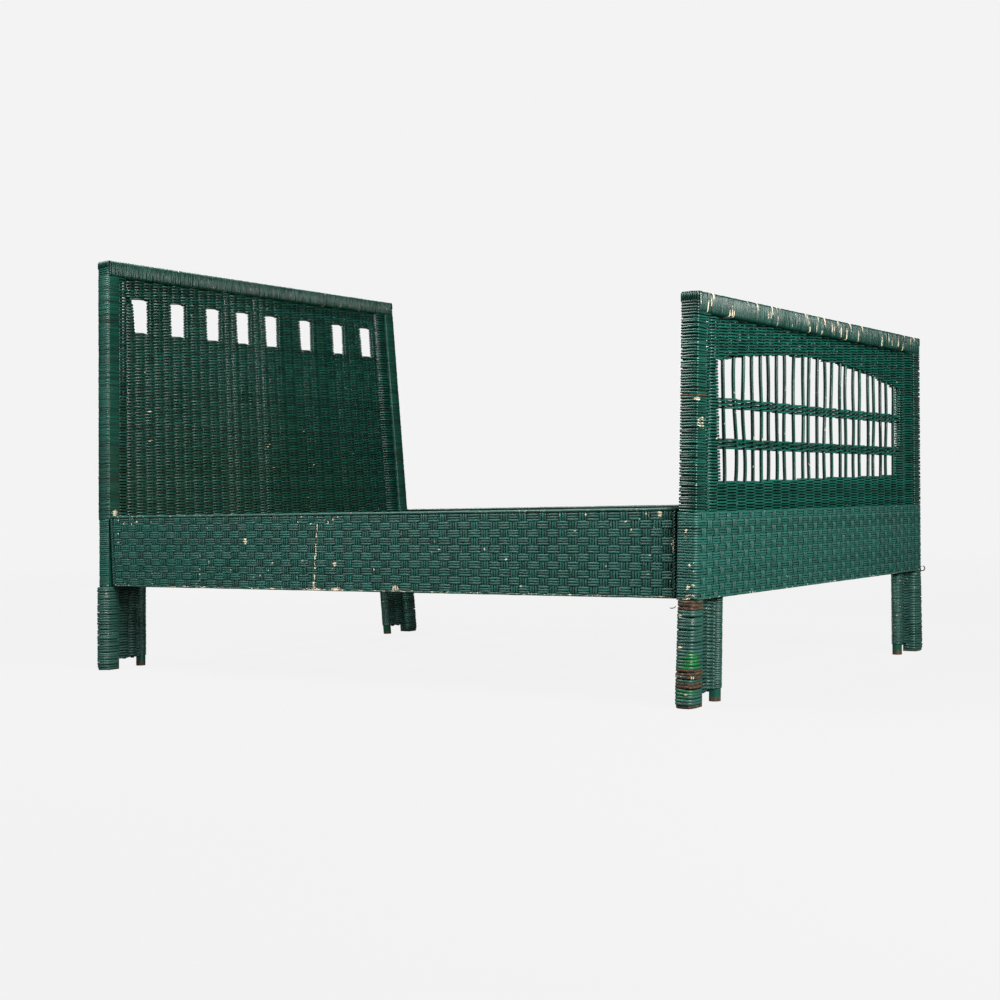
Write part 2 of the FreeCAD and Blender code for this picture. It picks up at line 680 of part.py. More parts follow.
def hook_stems():
    # lower and upper side of each hook's stem, in height
    lower = f"({plate_low} + {size('hook_inset')})"
    upper = f"({plate_high} - {size('hook_inset')} - {size('hook_stem')})"
    return [(start, f"({start} + {size('hook_stem')})") for start in (lower, upper)]


def hook_half():
    return f"({size('hook_thickness')} / 2)"


def hook_pocket_depth():
    return f"({size('hook_tip')} + 2 * {size('fit')})"


def plate_screw_rods(board, name, side, part, room):
    # two screws through one plate: room is the extra radius, so that it gives the screws or their holes
    into = -outward[board] if part == "rail" else outward[board]
    face = f"({half_post} + {size('plate_thickness')})" if part == "post" \
        else f"({half_post} + {size('plate_thickness')} + {size('plate_gap')})"
    turn_axis = (0, 1, 0)
    rods = []
    for which, level in enumerate((f"{plate_low} + {size('screw_inset')}",
                                   f"{plate_high} - {size('screw_inset')}")):
        base = (f"{-outward[board]} * {face}", f"{side} * {plate_middle}", level)
        label = f"{board}_{part}_screw_{name}_{which}"
        shank = rod(label + "_shank", f"{size('screw')} + 2 * ({room})",
                    f"{size('screw_length')} + ({room})", base, turn_axis, f"{into * 90} deg")
        head = rod(label + "_head", f"{size('screw_head')} + 2 * ({room})",
                   f"{size('screw_head_depth')} + ({room})", base, turn_axis, f"{into * 90} deg")
        rods.append(join(label, shank, head))
    return rods


def make_fittings(board):
    out = outward[board]
    fit = size("fit")
    post_plates = new_body(board + "_post_plate_stock")
    rail_plates = new_body(board + "_rail_hook_stock")
    plate_y = (f"{plate_middle} - {size('plate_width')} / 2", f"{plate_middle} + {size('plate_width')} / 2")
    outlines = [rectangle(span(side, *plate_y), (plate_low, plate_high)) for side in sides.values()]
    post_face = f"({half_post} + {size('plate_thickness')})"
    rail_side = f"({post_face} + {size('plate_gap')})"
    slab(post_plates, board + "_post_plate_face", outlines, *span(-out, half_post, post_face))
    slots = []
    for side in sides.values():
        for stem_low, stem_high in hook_stems():
            slot_y = (f"{plate_middle} - {hook_half()} - {fit}", f"{plate_middle} + {hook_half()} + {fit}")
            slot_high = f"{stem_high} + {size('hook_drop')} + {fit}"
            slots.append(rectangle(span(side, *slot_y), (stem_low, slot_high)))
    slab(post_plates, board + "_post_plate_slots", slots, *span(-out, half_post, post_face), cut=True)
    slab(rail_plates, board + "_rail_plate_face", outlines,
         *span(-out, rail_side, f"{rail_side} + {size('plate_thickness')}"))
    tip = f"({half_post} - {size('hook_tip')})"
    throat = f"({half_post} - {fit})"
    for name, side in sides.items():
        hooks = []
        for stem_low, stem_high in hook_stems():
            drop = f"({stem_low} - {size('hook_drop')})"
            outline = [(rail_side, stem_low), (rail_side, stem_high), (tip, stem_high), (tip, drop),
                       (throat, drop), (throat, stem_low)]
            hooks.append([(f"{-out} * {x}", z) for x, z in outline])
        profile(rail_plates, f"{board}_hooks_{name}", hooks,
                *span(side, f"{plate_middle} - {hook_half()}", f"{plate_middle} + {hook_half()}"))
    screws = []
    for part, body, label in (("post", post_plates, "_post_plates"), ("rail", rail_plates, "_rail_hooks")):
        holes = []
        for name, side in sides.items():
            screws += plate_screw_rods(board, name, side, part, "0")
            holes += plate_screw_rods(board, name, side, part, fit)
        plates = carve(f"{board}{label}_piece", body, group(f"{board}{label}_holes", holes))
        keep(plates, board + label, board)
    keep(group(board + "_plate_screw_group", screws), board + "_plate_screws", board)


def rail_end(board, level, gap):
    # a line parallel to the post's inner face, at one level, seen from the side
    lean = f"({level}) * tan({angle(board, 'rake')})"
    room = f"({half_post} + {gap}) / cos({angle(board, 'rake')})"
    return f"({board_x(board)} - {outward[board]} * ({room}) + {outward[board]} * {lean})"


def rail_outline(low, high):
    return [(rail_end("head", low, rail_end_gap), low), (rail_end("foot", low, rail_end_gap), low),
            (rail_end("foot", high, rail_end_gap), high), (rail_end("head", high, rail_end_gap), high)]


def ledger_ends():
    room = f"{rail_end_gap} + {size('ledger_end_gap')}"
    return rail_end("head", ledger_low, room), rail_end("foot", ledger_low, room)


def spaced(i, count, margin):
    # one of several even places along the ledger, the outer ones at a margin from its ends
    start, end = ledger_ends()
    step = f"({end} - {start} - 2 * ({margin})) / ({count} - 1)"
    return f"({start} + ({margin}) + {i} * {step})"


def slat_x(i):
    return spaced(i, slat_count, f"{size('slat_margin')} + {size('slat_width')} / 2")


def make_side_rail(name, side, end_holes):
    ledger_inner = f"({rail_board_inner} - {size('ledger_width')})"
    ledger_x = ledger_ends()
    screw_level = f"({ledger_low} + ({size('ledger_height')} - {size('notch_depth')}) / 2)"
    screws, holes = [], []
    for i in range(ledger_screw_count):
        x = spaced(i, ledger_screw_count, size("ledger_screw_margin"))
        base = (x, f"{side} * {ledger_inner}", screw_level)
        for rods, room in ((screws, "0"), (holes, size("fit"))):
            label = f"ledger_screw_{name}_{i}"
            shank = rod(label + "_shank", f"{size('screw')} + 2 * ({room})",
                        f"{size('ledger_screw_length')} + ({room})", base, (1, 0, 0), f"{-side * 90} deg")
            head = rod(label + "_head", f"{size('screw_head')} + 2 * ({room})",
                       f"{size('screw_head_depth')} + ({room})", base, (1, 0, 0), f"{-side * 90} deg")
            rods.append(join(label, shank, head))
    ledger_holes = group(f"ledger_holes_{name}", holes)

    body = new_body(f"rail_board_stock_{name}")
    profile(body, f"rail_board_side_{name}", [rail_outline(rail_board_low, rail_board_high)],
            *span(side, rail_board_inner, rail_board_outer))
    board = carve(f"rail_board_piece_{name}", body, group(f"rail_holes_{name}", end_holes + [ledger_holes]))
    keep(board, f"rail_board_{name}")

    # plaited cladding: outer face and a return under the board
    body = new_body(f"rail_cladding_sheet_{name}")
    profile(body, f"rail_cladding_side_{name}", [rail_outline(size("rail_low"), rail_board_high)],
            *span(side, rail_board_outer, rail_face))
    profile(body, f"rail_cladding_under_{name}", [rail_outline(size("rail_low"), rail_board_low)],
            *span(side, rail_board_inner, rail_board_outer))
    keep(body, f"rail_cladding_{name}")

    # rolled bead along the top edge
    body = new_body(f"rail_bead_roll_{name}")
    bead = profile(body, f"rail_bead_side_{name}", [rail_outline(rail_board_high, size("rail_high"))],
                   *span(side, rail_board_inner, rail_face))
    top = number(size("rail_high"))
    round_edges(body, bead, f"rail_bead_round_{name}", size("bead_corner"),
                lambda line: runs_along(line, "X") and abs(line.Vertexes[0].Z - top) < tiny)
    keep(body, f"rail_bead_{name}")

    # ledger with a notch for each slat
    body = new_body(f"ledger_stock_{name}")
    profile(body, f"ledger_side_{name}", [rectangle(ledger_x, (ledger_low, ledger_high))],
            *span(side, ledger_inner, rail_board_inner))
    notches = []
    half_notch = f"({size('slat_width')} / 2 + {size('fit')})"
    notch_z = (f"{ledger_high} - {size('notch_depth')}", f"{ledger_high} + {size('fit')}")
    for i in range(slat_count):
        notches.append(rectangle((f"{slat_x(i)} - {half_notch}", f"{slat_x(i)} + {half_notch}"), notch_z))
    profile(body, f"ledger_notches_{name}", notches, *span(side, ledger_inner, rail_board_inner), cut=True)
    keep(carve(f"ledger_piece_{name}", body, ledger_holes), f"ledger_{name}")
    return screws


def make_slats():
    low = f"({ledger_high} - {size('notch_depth')})"
    half_length = f"({rail_board_inner} - {size('slat_end_gap')})"
    half_width = f"({size('slat_width')} / 2)"
    for i in range(slat_count):
        slat = block(f"slat_stock_{i + 1}", (f"{slat_x(i)} - {half_width}", f"{slat_x(i)} + {half_width}"),
                     (f"-{half_length}", half_length), (low, f"{low} + {size('slat_thickness')}"))
        keep(slat, f"slat_{i + 1}")


for board, make_panel in (("head", make_head_panel), ("foot", make_foot_panel)):
    bores = make_panel()
    make_board_frame(board, make_floor(board), bores)
    make_board_cane(board, bores)
    make_fittings(board)

ledger_screws = []
for name, side in sides.items():
    end_holes = []
    for board in outward:
        drilled = plate_screw_rods(board, name, side, "rail", size("fit"))
        holes = group(f"{board}_rail_end_holes_{name}", drilled)
        stand(holes, board)
        end_holes.append(holes)
    ledger_screws += make_side_rail(name, side, end_holes)
keep(group("ledger_screw_group", ledger_screws), "ledger_screws")
make_slats()
doc.recompute()

for thing in doc.Objects:
    if "Invalid" in thing.State or "Error" in thing.State:
        raise RuntimeError(thing.Name + " failed")
for piece in pieces:
    if piece.Shape.isNull() or not piece.Shape.isValid() or not piece.Shape.Solids:
        raise RuntimeError(piece.Label + " has no valid shape")

os.makedirs("parts", exist_ok=True)
for piece in pieces:
    piece.Shape.exportStep(f"parts/{piece.Label}.step")
    print(piece.Label, len(piece.Shape.Solids), "solids", round(piece.Shape.Volume / 1000, 1), "cm3")
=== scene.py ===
import math

import bpy
import numpy as np
from mathutils import Euler, Matrix


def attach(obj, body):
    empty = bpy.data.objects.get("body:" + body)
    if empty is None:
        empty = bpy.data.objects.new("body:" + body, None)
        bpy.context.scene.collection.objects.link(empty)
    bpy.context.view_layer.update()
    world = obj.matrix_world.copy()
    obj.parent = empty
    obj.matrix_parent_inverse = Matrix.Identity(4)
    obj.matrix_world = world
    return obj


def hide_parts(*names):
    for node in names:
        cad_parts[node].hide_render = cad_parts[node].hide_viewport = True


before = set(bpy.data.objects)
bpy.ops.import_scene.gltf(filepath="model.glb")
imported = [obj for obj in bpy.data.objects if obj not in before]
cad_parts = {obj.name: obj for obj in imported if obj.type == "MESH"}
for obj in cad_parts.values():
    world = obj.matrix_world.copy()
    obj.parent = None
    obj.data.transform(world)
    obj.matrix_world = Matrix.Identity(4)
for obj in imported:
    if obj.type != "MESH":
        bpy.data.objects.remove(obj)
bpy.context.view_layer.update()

dice = np.random.default_rng(1921)

# The bed's own sizes in mm, angles in degrees. Each end board is drawn upright and then leans outwards about
# the floor line. A post's cane lies at "skin" from its middle, and its turns fill "full" of their pitch.
bed = {"length": 2060, "width": 1512, "skin": 24, "corner": 7, "post": 40, "wrap": 4}
boards = {
    "head": {"out": -1, "rake": 1.84, "taper": 2.9, "top": 1236, "swell": 0.5, "flare": 0, "full": 1.6},
    "foot": {"out": 1, "rake": 1.2, "taper": 1.47, "top": 957, "swell": 4, "flare": 10, "full": 0.88},
}
sides = {"near": -1, "far": 1}
apronLow, apronHigh = 247, 449
railLow, railHigh = 249, 460

for board in boards.values():
    rake = math.radians(board["rake"])
    reach = (bed["skin"] - bed["corner"]) * math.cos(rake) + (board["top"] - bed["corner"]) * math.sin(rake)
    board["x"] = board["out"] * (bed["length"] / 2 - reach - bed["corner"])


def edge(board, z, inset):
    return bed["width"] / 2 - inset - z * math.tan(math.radians(board["taper"]))


def leaning(board):
    turn = board["out"] * math.radians(board["rake"])

    def place(points):
        x, y, z = points[..., 0], points[..., 1], points[..., 2]
        return np.stack([board["x"] + x * math.cos(turn) + z * math.sin(turn), y,
                         z * math.cos(turn) - x * math.sin(turn)], -1) / 1000
    return place


def standing(points):
    return points / 1000


def addObject(name, data):
    added = bpy.data.objects.new(name, data)
    bpy.context.scene.collection.objects.link(added)
    return added


# colours and nodes

def linear(hexColour):
    parts = [int(hexColour[i:i + 2], 16) / 255 for i in (1, 3, 5)]
    return [p / 12.92 if p <= 0.04045 else ((p + 0.055) / 1.055) ** 2.4 for p in parts] + [1]


def addNode(tree, kind, settings=None, values=None, links=None):
    node = tree.nodes.new("ShaderNode" + kind)
    for key, value in (settings or {}).items():
        setattr(node, key, value)
    for socket, value in (values or {}).items():
        node.inputs[socket].default_value = value
    for socket, source in (links or {}).items():
        tree.links.new(source, node.inputs[socket])
    return node


def newMaterial(name):
    material = bpy.data.materials.new(name)
    material.use_nodes = True
    material.node_tree.nodes.clear()
    return material, material.node_tree


inColour = {"data_type": "RGBA"}
mixA, mixB, mixOut = 6, 7, 2  # colour sockets of the Mix node


def brushedCane(name, look):
    # Rattan cane under old oil enamel, brushed on over the finished weave: a dark glossy skin that thins on
    # the crowns and flakes off in short lengths, so straw-coloured cane shows through; hollows carry painted
    # shade.
    material, tree = newMaterial(name)
    tone = addNode(tree, "Attribute", {"attribute_name": "strandTone"})
    parts = addNode(tree, "SeparateColor", links={"Color": tone.outputs["Color"]})
    crown, shade, worn = (parts.outputs[n] for n in ("Red", "Green", "Blue"))
    place = addNode(tree, "Attribute", {"attribute_name": "strandPlace"})
    spot = addNode(tree, "TexCoord")

    # flakes 10 mm along the strand and 3 mm across it
    alongStrand = addNode(tree, "Mapping", values={"Scale": (1 / 0.010, 1 / 0.003, 3.7)},
                          links={"Vector": place.outputs["Vector"]})
    flakes = addNode(tree, "TexNoise", values={"Scale": 1.0, "Detail": 3.0, "Roughness": 0.6},
                     links={"Vector": alongStrand.outputs["Vector"]})
    exposed = addNode(tree, "Math", {"operation": "MULTIPLY_ADD"}, {1: 0.75, 2: 0.3}, {0: crown})
    wear = addNode(tree, "Math", {"operation": "MULTIPLY"}, links={0: worn, 1: exposed.outputs[0]})
    flaking = addNode(tree, "Math", {"operation": "ADD"},
                      links={0: flakes.outputs["Fac"], 1: wear.outputs[0]})
    bare = addNode(tree, "MapRange", values={"From Min": 0.84, "From Max": 0.89},
                   links={"Value": flaking.outputs[0]})

    # paint: two brushed greens in 120 mm clouds, an older brighter coat where the top one has gone
    clouds = addNode(tree, "TexNoise", values={"Scale": 1 / 0.12, "Detail": 4.0, "Roughness": 0.65},
                     links={"Vector": spot.outputs["Object"]})
    blend = addNode(tree, "Math", {"operation": "MULTIPLY_ADD", "use_clamp": True}, {1: 0.6},
                    {0: clouds.outputs["Fac"], 2: shade})
    top = addNode(tree, "Mix", inColour, {mixA: linear(look["deep"]), mixB: linear(look["light"])},
                  {0: blend.outputs[0]})
    gone = addNode(tree, "Math", {"operation": "MULTIPLY_ADD"}, {1: 0.9, 2: -0.75},
                   {0: tone.outputs["Alpha"]})
    goneSpots = addNode(tree, "Math", {"operation": "ADD"},
                        links={0: gone.outputs[0], 1: flakes.outputs["Fac"]})
    goneHere = addNode(tree, "MapRange", values={"From Min": 0.45, "From Max": 0.6},
                       links={"Value": goneSpots.outputs[0]})
    older = addNode(tree, "Mix", inColour, {mixB: linear("#0f6e32")},
                    {0: goneHere.outputs[0], mixA: top.outputs[mixOut]})

    # painted shade: darker in the hollows between strands and under crossing canes, a little lighter on
    # crowns
    hollowShade = addNode(tree, "MapRange",
                     values={"From Min": 0.5, "From Max": 1.0, "To Min": 0.12, "To Max": 1.06},
                     links={"Value": crown})
    shadedInHollows = addNode(tree, "Mix", {**inColour, "blend_type": "MULTIPLY"}, {0: 1.0},
                     {mixA: older.outputs[mixOut], mixB: hollowShade.outputs[0]})

    # bare cane: straw to brown in fibres 0.5 mm across, drawn at 1.2 mm so that they show
    fibreRun = addNode(tree, "Mapping", values={"Scale": (1 / 0.04, 1 / 0.0012, 5.1)},
                       links={"Vector": place.outputs["Vector"]})
    fibres = addNode(tree, "TexNoise", values={"Scale": 1.0, "Detail": 2.0},
                     links={"Vector": fibreRun.outputs["Vector"]})
    fresh = addNode(tree, "Mix", inColour, {mixA: linear("#b4a07a"), mixB: linear("#efe6cf")},
                    {0: fibres.outputs["Fac"]})
    soaked = addNode(tree, "MapRange", values={"From Min": 0.44, "From Max": 0.7},
                     links={"Value": flakes.outputs["Fac"]})
    stained = addNode(tree, "Mix", inColour, {mixA: linear("#1c130a"), mixB: linear("#6e5031")},
                      {0: soaked.outputs[0]})
    longBare = addNode(tree, "MapRange", values={"From Min": -0.04, "From Max": -0.2},
                       links={"Value": tone.outputs["Alpha"]})
    cane = addNode(tree, "Mix", inColour,
                   links={0: longBare.outputs[0], mixA: fresh.outputs[mixOut], mixB: stained.outputs[mixOut]})
    colour = addNode(tree, "Mix", inColour,
                     links={0: bare.outputs[0], mixA: shadedInHollows.outputs[mixOut], mixB: cane.outputs[mixOut]})

    gloss = addNode(tree, "MapRange",
                    values={"From Min": 0.3, "From Max": 0.7, "To Min": look["gloss"],
                            "To Max": look["gloss"] + 0.16},
                    links={"Value": clouds.outputs["Fac"]})
    rough = addNode(tree, "Math", {"operation": "MULTIPLY_ADD", "use_clamp": True}, {1: 0.35},
                    {0: bare.outputs[0], 2: gloss.outputs[0]})
    relief = addNode(tree, "Math", {"operation": "MULTIPLY_ADD"}, {1: -0.8},
                     {0: bare.outputs[0], 2: fibres.outputs["Fac"]})
    bump = addNode(tree, "Bump", values={"Strength": 0.35, "Distance": 0.0004},
                   links={"Height": relief.outputs[0]})
    shader = addNode(tree, "BsdfPrincipled", values={"IOR": 1.5},
                     links={"Base Color": colour.outputs[mixOut], "Roughness": rough.outputs[0],
                            "Normal": bump.outputs["Normal"]})
    addNode(tree, "OutputMaterial", links={"Surface": shader.outputs["BSDF"]})
    return material


def sawnTimber(name, look):
    # Sawn and planed timber: straight grain lines along the board, darker pores, dull unless painted.
    material, tree = newMaterial(name)
    spot = addNode(tree, "TexCoord")
    stretch = [1 / 0.006] * 3  # growth rings 6 mm apart, drawn out 25 times along the grain
    stretch[look["grain"]] /= 25
    run = addNode(tree, "Mapping", values={"Scale": stretch}, links={"Vector": spot.outputs["Object"]})
    rings = addNode(tree, "TexNoise",
                    values={"Scale": 1.0, "Detail": 5.0, "Roughness": 0.55, "Distortion": 0.4},
                    links={"Vector": run.outputs["Vector"]})
    bands = addNode(tree, "MapRange", values={"From Min": 0.32, "From Max": 0.68},
                    links={"Value": rings.outputs["Fac"]})
    wood = addNode(tree, "Mix", inColour, {mixA: linear(look["dark"]), mixB: linear(look["light"])},
                   {0: bands.outputs[0]})
    colour, roughBy = wood.outputs[mixOut], rings.outputs["Fac"]
    if look.get("paint"):
        # brushed enamel, gone from the lowest 12 mm and in scuffs about 30 mm long
        deep, light = (linear(paint) for paint in look["paint"])
        split = addNode(tree, "SeparateXYZ", links={"Vector": spot.outputs["Object"]})
        scuffs = addNode(tree, "TexNoise", values={"Scale": 1 / 0.03, "Detail": 6.0, "Roughness": 0.7},
                         links={"Vector": spot.outputs["Object"]})
        height = addNode(tree, "MapRange",
                         values={"From Min": 0.004, "From Max": 0.02, "To Min": -0.25, "To Max": 0.22},
                         links={"Value": split.outputs["Z"]})
        hold = addNode(tree, "Math", {"operation": "ADD"},
                       links={0: scuffs.outputs["Fac"], 1: height.outputs[0]})
        cover = addNode(tree, "MapRange", values={"From Min": 0.46, "From Max": 0.52},
                        links={"Value": hold.outputs[0]})
        enamel = addNode(tree, "Mix", inColour, {mixA: deep, mixB: light}, {0: scuffs.outputs["Fac"]})
        painted = addNode(tree, "Mix", inColour,
                          links={0: cover.outputs[0], mixA: colour, mixB: enamel.outputs[mixOut]})
        colour, roughBy = painted.outputs[mixOut], cover.outputs[0]
    rough = addNode(tree, "MapRange", values={"To Min": look["rough"][0], "To Max": look["rough"][1]},
                    links={"Value": roughBy})
    bump = addNode(tree, "Bump", values={"Strength": 0.3, "Distance": 0.0006},
                   links={"Height": rings.outputs["Fac"]})
    shader = addNode(tree, "BsdfPrincipled", values={"IOR": 1.5},
                     links={"Base Color": colour, "Roughness": rough.outputs[0],
                            "Normal": bump.outputs["Normal"]})
    addNode(tree, "OutputMaterial", links={"Surface": shader.outputs["BSDF"]})
    return material


def rolledSteel(name):
    # Mild steel strip, hot rolled: a grey oxide film with brown rust blooms about 8 mm across.
    material, tree = newMaterial(name)
    spot = addNode(tree, "TexCoord")
    blooms = addNode(tree, "TexNoise", values={"Scale": 1 / 0.008, "Detail": 5.0, "Roughness": 0.6},
                     links={"Vector": spot.outputs["Object"]})
    rust = addNode(tree, "MapRange", values={"From Min": 0.55, "From Max": 0.7},
                   links={"Value": blooms.outputs["Fac"]})
    colour = addNode(tree, "Mix", inColour, {mixA: linear("#8a8a88"), mixB: linear("#6b4a34")},
                     {0: rust.outputs[0]})
    metal = addNode(tree, "MapRange", values={"To Min": 1.0, "To Max": 0.15},
                    links={"Value": rust.outputs[0]})
    rough = addNode(tree, "MapRange", values={"To Min": 0.38, "To Max": 0.8},
                    links={"Value": rust.outputs[0]})
    bump = addNode(tree, "Bump", values={"Strength": 0.25, "Distance": 0.0003},
                   links={"Height": blooms.outputs["Fac"]})
    shader = addNode(tree, "BsdfPrincipled",
                     links={"Base Color": colour.outputs[mixOut], "Metallic": metal.outputs[0],
                            "Roughness": rough.outputs[0], "Normal": bump.outputs["Normal"]})
    addNode(tree, "OutputMaterial", links={"Surface": shader.outputs["BSDF"]})
    return material


woundCane = brushedCane("rattan_cane_brushed_enamel", {"deep": "#022c22", "light": "#074b3e", "gloss": 0.25})
rubbedCane = brushedCane("rattan_cane_brushed_enamel_rubbed",
                         {"deep": "#03352a", "light": "#0b584a", "gloss": 0.23})
wovenCane = brushedCane("rattan_cane_brushed_enamel_woven",
                        {"deep": "#043e31", "light": "#0e6656", "gloss": 0.22})
plaitCane = brushedCane("plaited_cane_brushed_enamel", {"deep": "#0d4a3e", "light": "#20655a", "gloss": 0.42})
legCane = brushedCane("rattan_cane_scuffed_enamel", {"deep": "#16443a", "light": "#306055", "gloss": 0.38})
beech = {"dark": "#5a4028", "light": "#8a6a46", "paint": ("#073a2c", "#125544"), "rough": (0.7, 0.4)}
paintedBeech = sawnTimber("beech_brushed_enamel",
                          {**beech, "grain": 2, "dark": "#2e2415", "light": "#54432a", "rough": (0.7, 0.34)})
railBeech = sawnTimber("beech_brushed_enamel_long", {**beech, "grain": 0})
boardBeech = sawnTimber("beech_brushed_enamel_cross", {**beech, "grain": 1})
pine = {"dark": "#a9834f", "rough": (0.5, 0.65)}
planedPine = sawnTimber("pine_planed", {**pine, "grain": 1, "light": "#dcbc8a"})
ledgerPine = sawnTimber("pine_planed_long", {**pine, "grain": 0, "light": "#d6b582"})
strapSteel = rolledSteel("mild_steel_hot_rolled")
print("materials ready")


# strands: many canes become one mesh, each with its own cell of the bake map

bakeCell = {"margin": (0.03, 0.08), "endAt": 0.012, "endSize": (0.009, 0.3)}  # shares of a cell


def unit(v):
    return v / np.maximum(np.linalg.norm(v, axis=-1, keepdims=True), 1e-9)


def roundCane(wide, thick, count=6):
    turn = np.radians(-90 + 360 / count * np.arange(count))
    return np.stack([np.cos(turn) * wide / 2, np.sin(turn) * thick / 2], -1)


def overUnder(count):
    return 1 - 2 * (np.arange(count) % 2)


def scatter(count, low, high, spread, strength):
    # chance knocks over a face, between two corners of a box in mm
    return [(dice.uniform(low, high), dice.uniform(*spread), dice.uniform(*strength), "bare")
            for _ in range(count)]


def sweptRings(batch):
    # the section carried along every path of a batch
    path, section = batch["path"], batch["section"]
    if batch.get("closed"):
        along = np.roll(path, -1, 1) - np.roll(path, 1, 1)
    else:
        along = np.gradient(path, axis=1)
    across = unit(np.cross(along, np.broadcast_to(batch["out"], path.shape)))
    up = unit(np.cross(across, along))
    return path[:, :, None] + section[:, :1] * across[:, :, None] + section[:, 1:] * up[:, :, None]


def strandFaces(batch, first, cells, columns, rows):
    # faces and their corners on the bake map: the sides, then a sawn end at each end of an open strand
    count, steps = batch["path"].shape[:2]
    around, closed = len(batch["section"]), batch.get("closed", False)
    here = first + np.arange(count * steps * around).reshape(count, steps, around)
    start, end = (here, np.roll(here, -1, 1)) if closed else (here[:, :-1], here[:, 1:])
    quads = np.stack([start, end, np.roll(end, -1, 2), np.roll(start, -1, 2)], -1)
    corner = np.stack([cells % columns / columns, cells // columns / rows], -1)
    shares = [np.linspace(m, 1 - m, n + 1) for m, n in zip(bakeCell["margin"], quads.shape[1:3])]
    grid = np.stack(np.meshgrid(*shares, indexing="ij"), -1)
    local = np.stack([grid[:-1, :-1], grid[1:, :-1], grid[1:, 1:], grid[:-1, 1:]], -2)
    faces = [(quads.reshape(-1, 4), corner[:, None, None, None] + local / (columns, rows))]
    if not closed:
        turn = 2 * np.pi * np.arange(around) / around
        wide, high = bakeCell["endSize"]
        for rim, at in ((here[:, 0], bakeCell["endAt"]), (here[:, -1, ::-1], 1 - bakeCell["endAt"])):
            dot = np.stack([at + wide * np.cos(turn), 0.5 + high * np.sin(turn)], -1)
            faces.append((rim, corner[:, None] + dot / (columns, rows)))
    return faces


def strandTones(batch, world, base, marks):
    # crown, shade, wear and older coat at every point; a coat below nought is a stain
    count, steps = batch["path"].shape[:2]
    lift = batch["section"][:, 1]
    around = len(lift)

    def onPoints(value):
        return np.repeat(np.broadcast_to(value, (count, steps)).reshape(-1), around)

    crown = (lift - lift.min()) / np.ptp(lift)
    if batch.get("bothFaces"):
        crown = np.abs(lift) / np.abs(lift).max()
    worn = onPoints(batch.get("wear", 0.0)) + base
    old = -onPoints(batch.get("stain", 0.0))
    for centre, spread, strength, kind in marks:
        gap = np.linalg.norm((world * 1000 - centre) / np.asarray(spread, float), axis=1)
        near = strength * np.clip(3.75 - 2.5 * gap, 0, 1)  # full to 1.1 of the mark's size, none past 1.5
        if kind == "bare":
            worn = np.maximum(worn, near)
        else:
            patchy = onPoints(dice.uniform(0.8, 1.25, count)[:, None])
            old = np.where(old < 0, old, np.maximum(old, np.clip(near * patchy, 0, 1)))
    shade = onPoints(dice.uniform(-0.25, 0.55, count)[:, None])
    # the crown, cut where a cane lies deep under the others, sets painted shade as well as where paint wears
    shown = np.tile(crown, count * steps) * (1 - onPoints(batch.get("deep", 0.0)))
    return np.stack([shown, shade, worn, old], -1)


def strandPlaces(batch, seeds):
    # metres along and round a strand, and a number of its own
    path, section = batch["path"], batch["section"]
    run = np.cumsum(np.linalg.norm(np.diff(path, axis=1, prepend=path[:, :1]), axis=-1), 1)
    about = np.cumsum(np.linalg.norm(np.diff(section, axis=0, prepend=section[:1]), axis=-1))
    parts = np.broadcast_arrays(run[:, :, None] / 1000, about / 1000, seeds[:, None, None] * 0.61)
    return np.stack(parts, -1).reshape(-1, 3)


def strandMesh(name, points, loops, sizes):
    mesh = bpy.data.meshes.new(name)
    mesh.vertices.add(len(points))
    mesh.vertices.foreach_set("co", points.astype(np.float32).ravel())
    mesh.loops.add(len(loops))
    mesh.loops.foreach_set("vertex_index", loops.astype(np.int32))
    mesh.polygons.add(len(sizes))
    mesh.polygons.foreach_set("loop_start", np.concatenate([[0], np.cumsum(sizes)[:-1]]).astype(np.int32))
    mesh.polygons.foreach_set("use_smooth", np.ones(len(sizes), bool))
    mesh.update(calc_edges=True)
    return mesh


def layCane(name, batches, toFrame, nodes, finish, base=0.0, marks=()):
    # batch: path (strands, steps, 3), out (facing direction) and section (sides, 2); closed, wear, stain,
    # deep (how far it lies under the others, painted darker there as shade) and bothFaces if they apply
    total = sum(len(b["path"]) for b in batches)
    lengths = np.concatenate([np.linalg.norm(np.diff(b["path"], axis=1), axis=-1).sum(1) for b in batches])
    girth = np.linalg.norm(np.diff(batches[0]["section"], axis=0), axis=-1).sum()
    columns = max(1, round(math.sqrt(total * girth / lengths.mean())))
    rows = math.ceil(total / columns)
    points, loops, sizes, maps, tones, places = [], [], [], [], [], []
    first = strand = 0
    for b in batches:
        world = toFrame(sweptRings(b).reshape(-1, 3))
        seeds = strand + np.arange(len(b["path"]))
        for faces, uv in strandFaces(b, first, seeds, columns, rows):
            loops.append(faces.ravel())
            sizes.append(np.full(len(faces), faces.shape[1]))
            maps.append(uv.reshape(-1, 2))
        points.append(world)
        tones.append(strandTones(b, world, base, marks))
        places.append(strandPlaces(b, seeds))
        first += len(world)
        strand += len(seeds)
    mesh = strandMesh(name, np.concatenate(points), np.concatenate(loops), np.concatenate(sizes))

    def fill(layer, key, values):
        layer.data.foreach_set(key, np.concatenate(values).astype(np.float32).ravel())

    fill(mesh.uv_layers.new(name="OFBake"), "uv", maps)
    fill(mesh.attributes.new("strandTone", "FLOAT_COLOR", "POINT"), "color", tones)
    fill(mesh.attributes.new("strandPlace", "FLOAT_VECTOR", "POINT"), "vector", places)
    mesh.materials.append(finish)
    piece = addObject(name, mesh)
    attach(piece, "frame")
    if nodes:
        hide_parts(*nodes)
    print(name, total, "strands", len(mesh.polygons), "faces")


# wound posts, legs and top rails

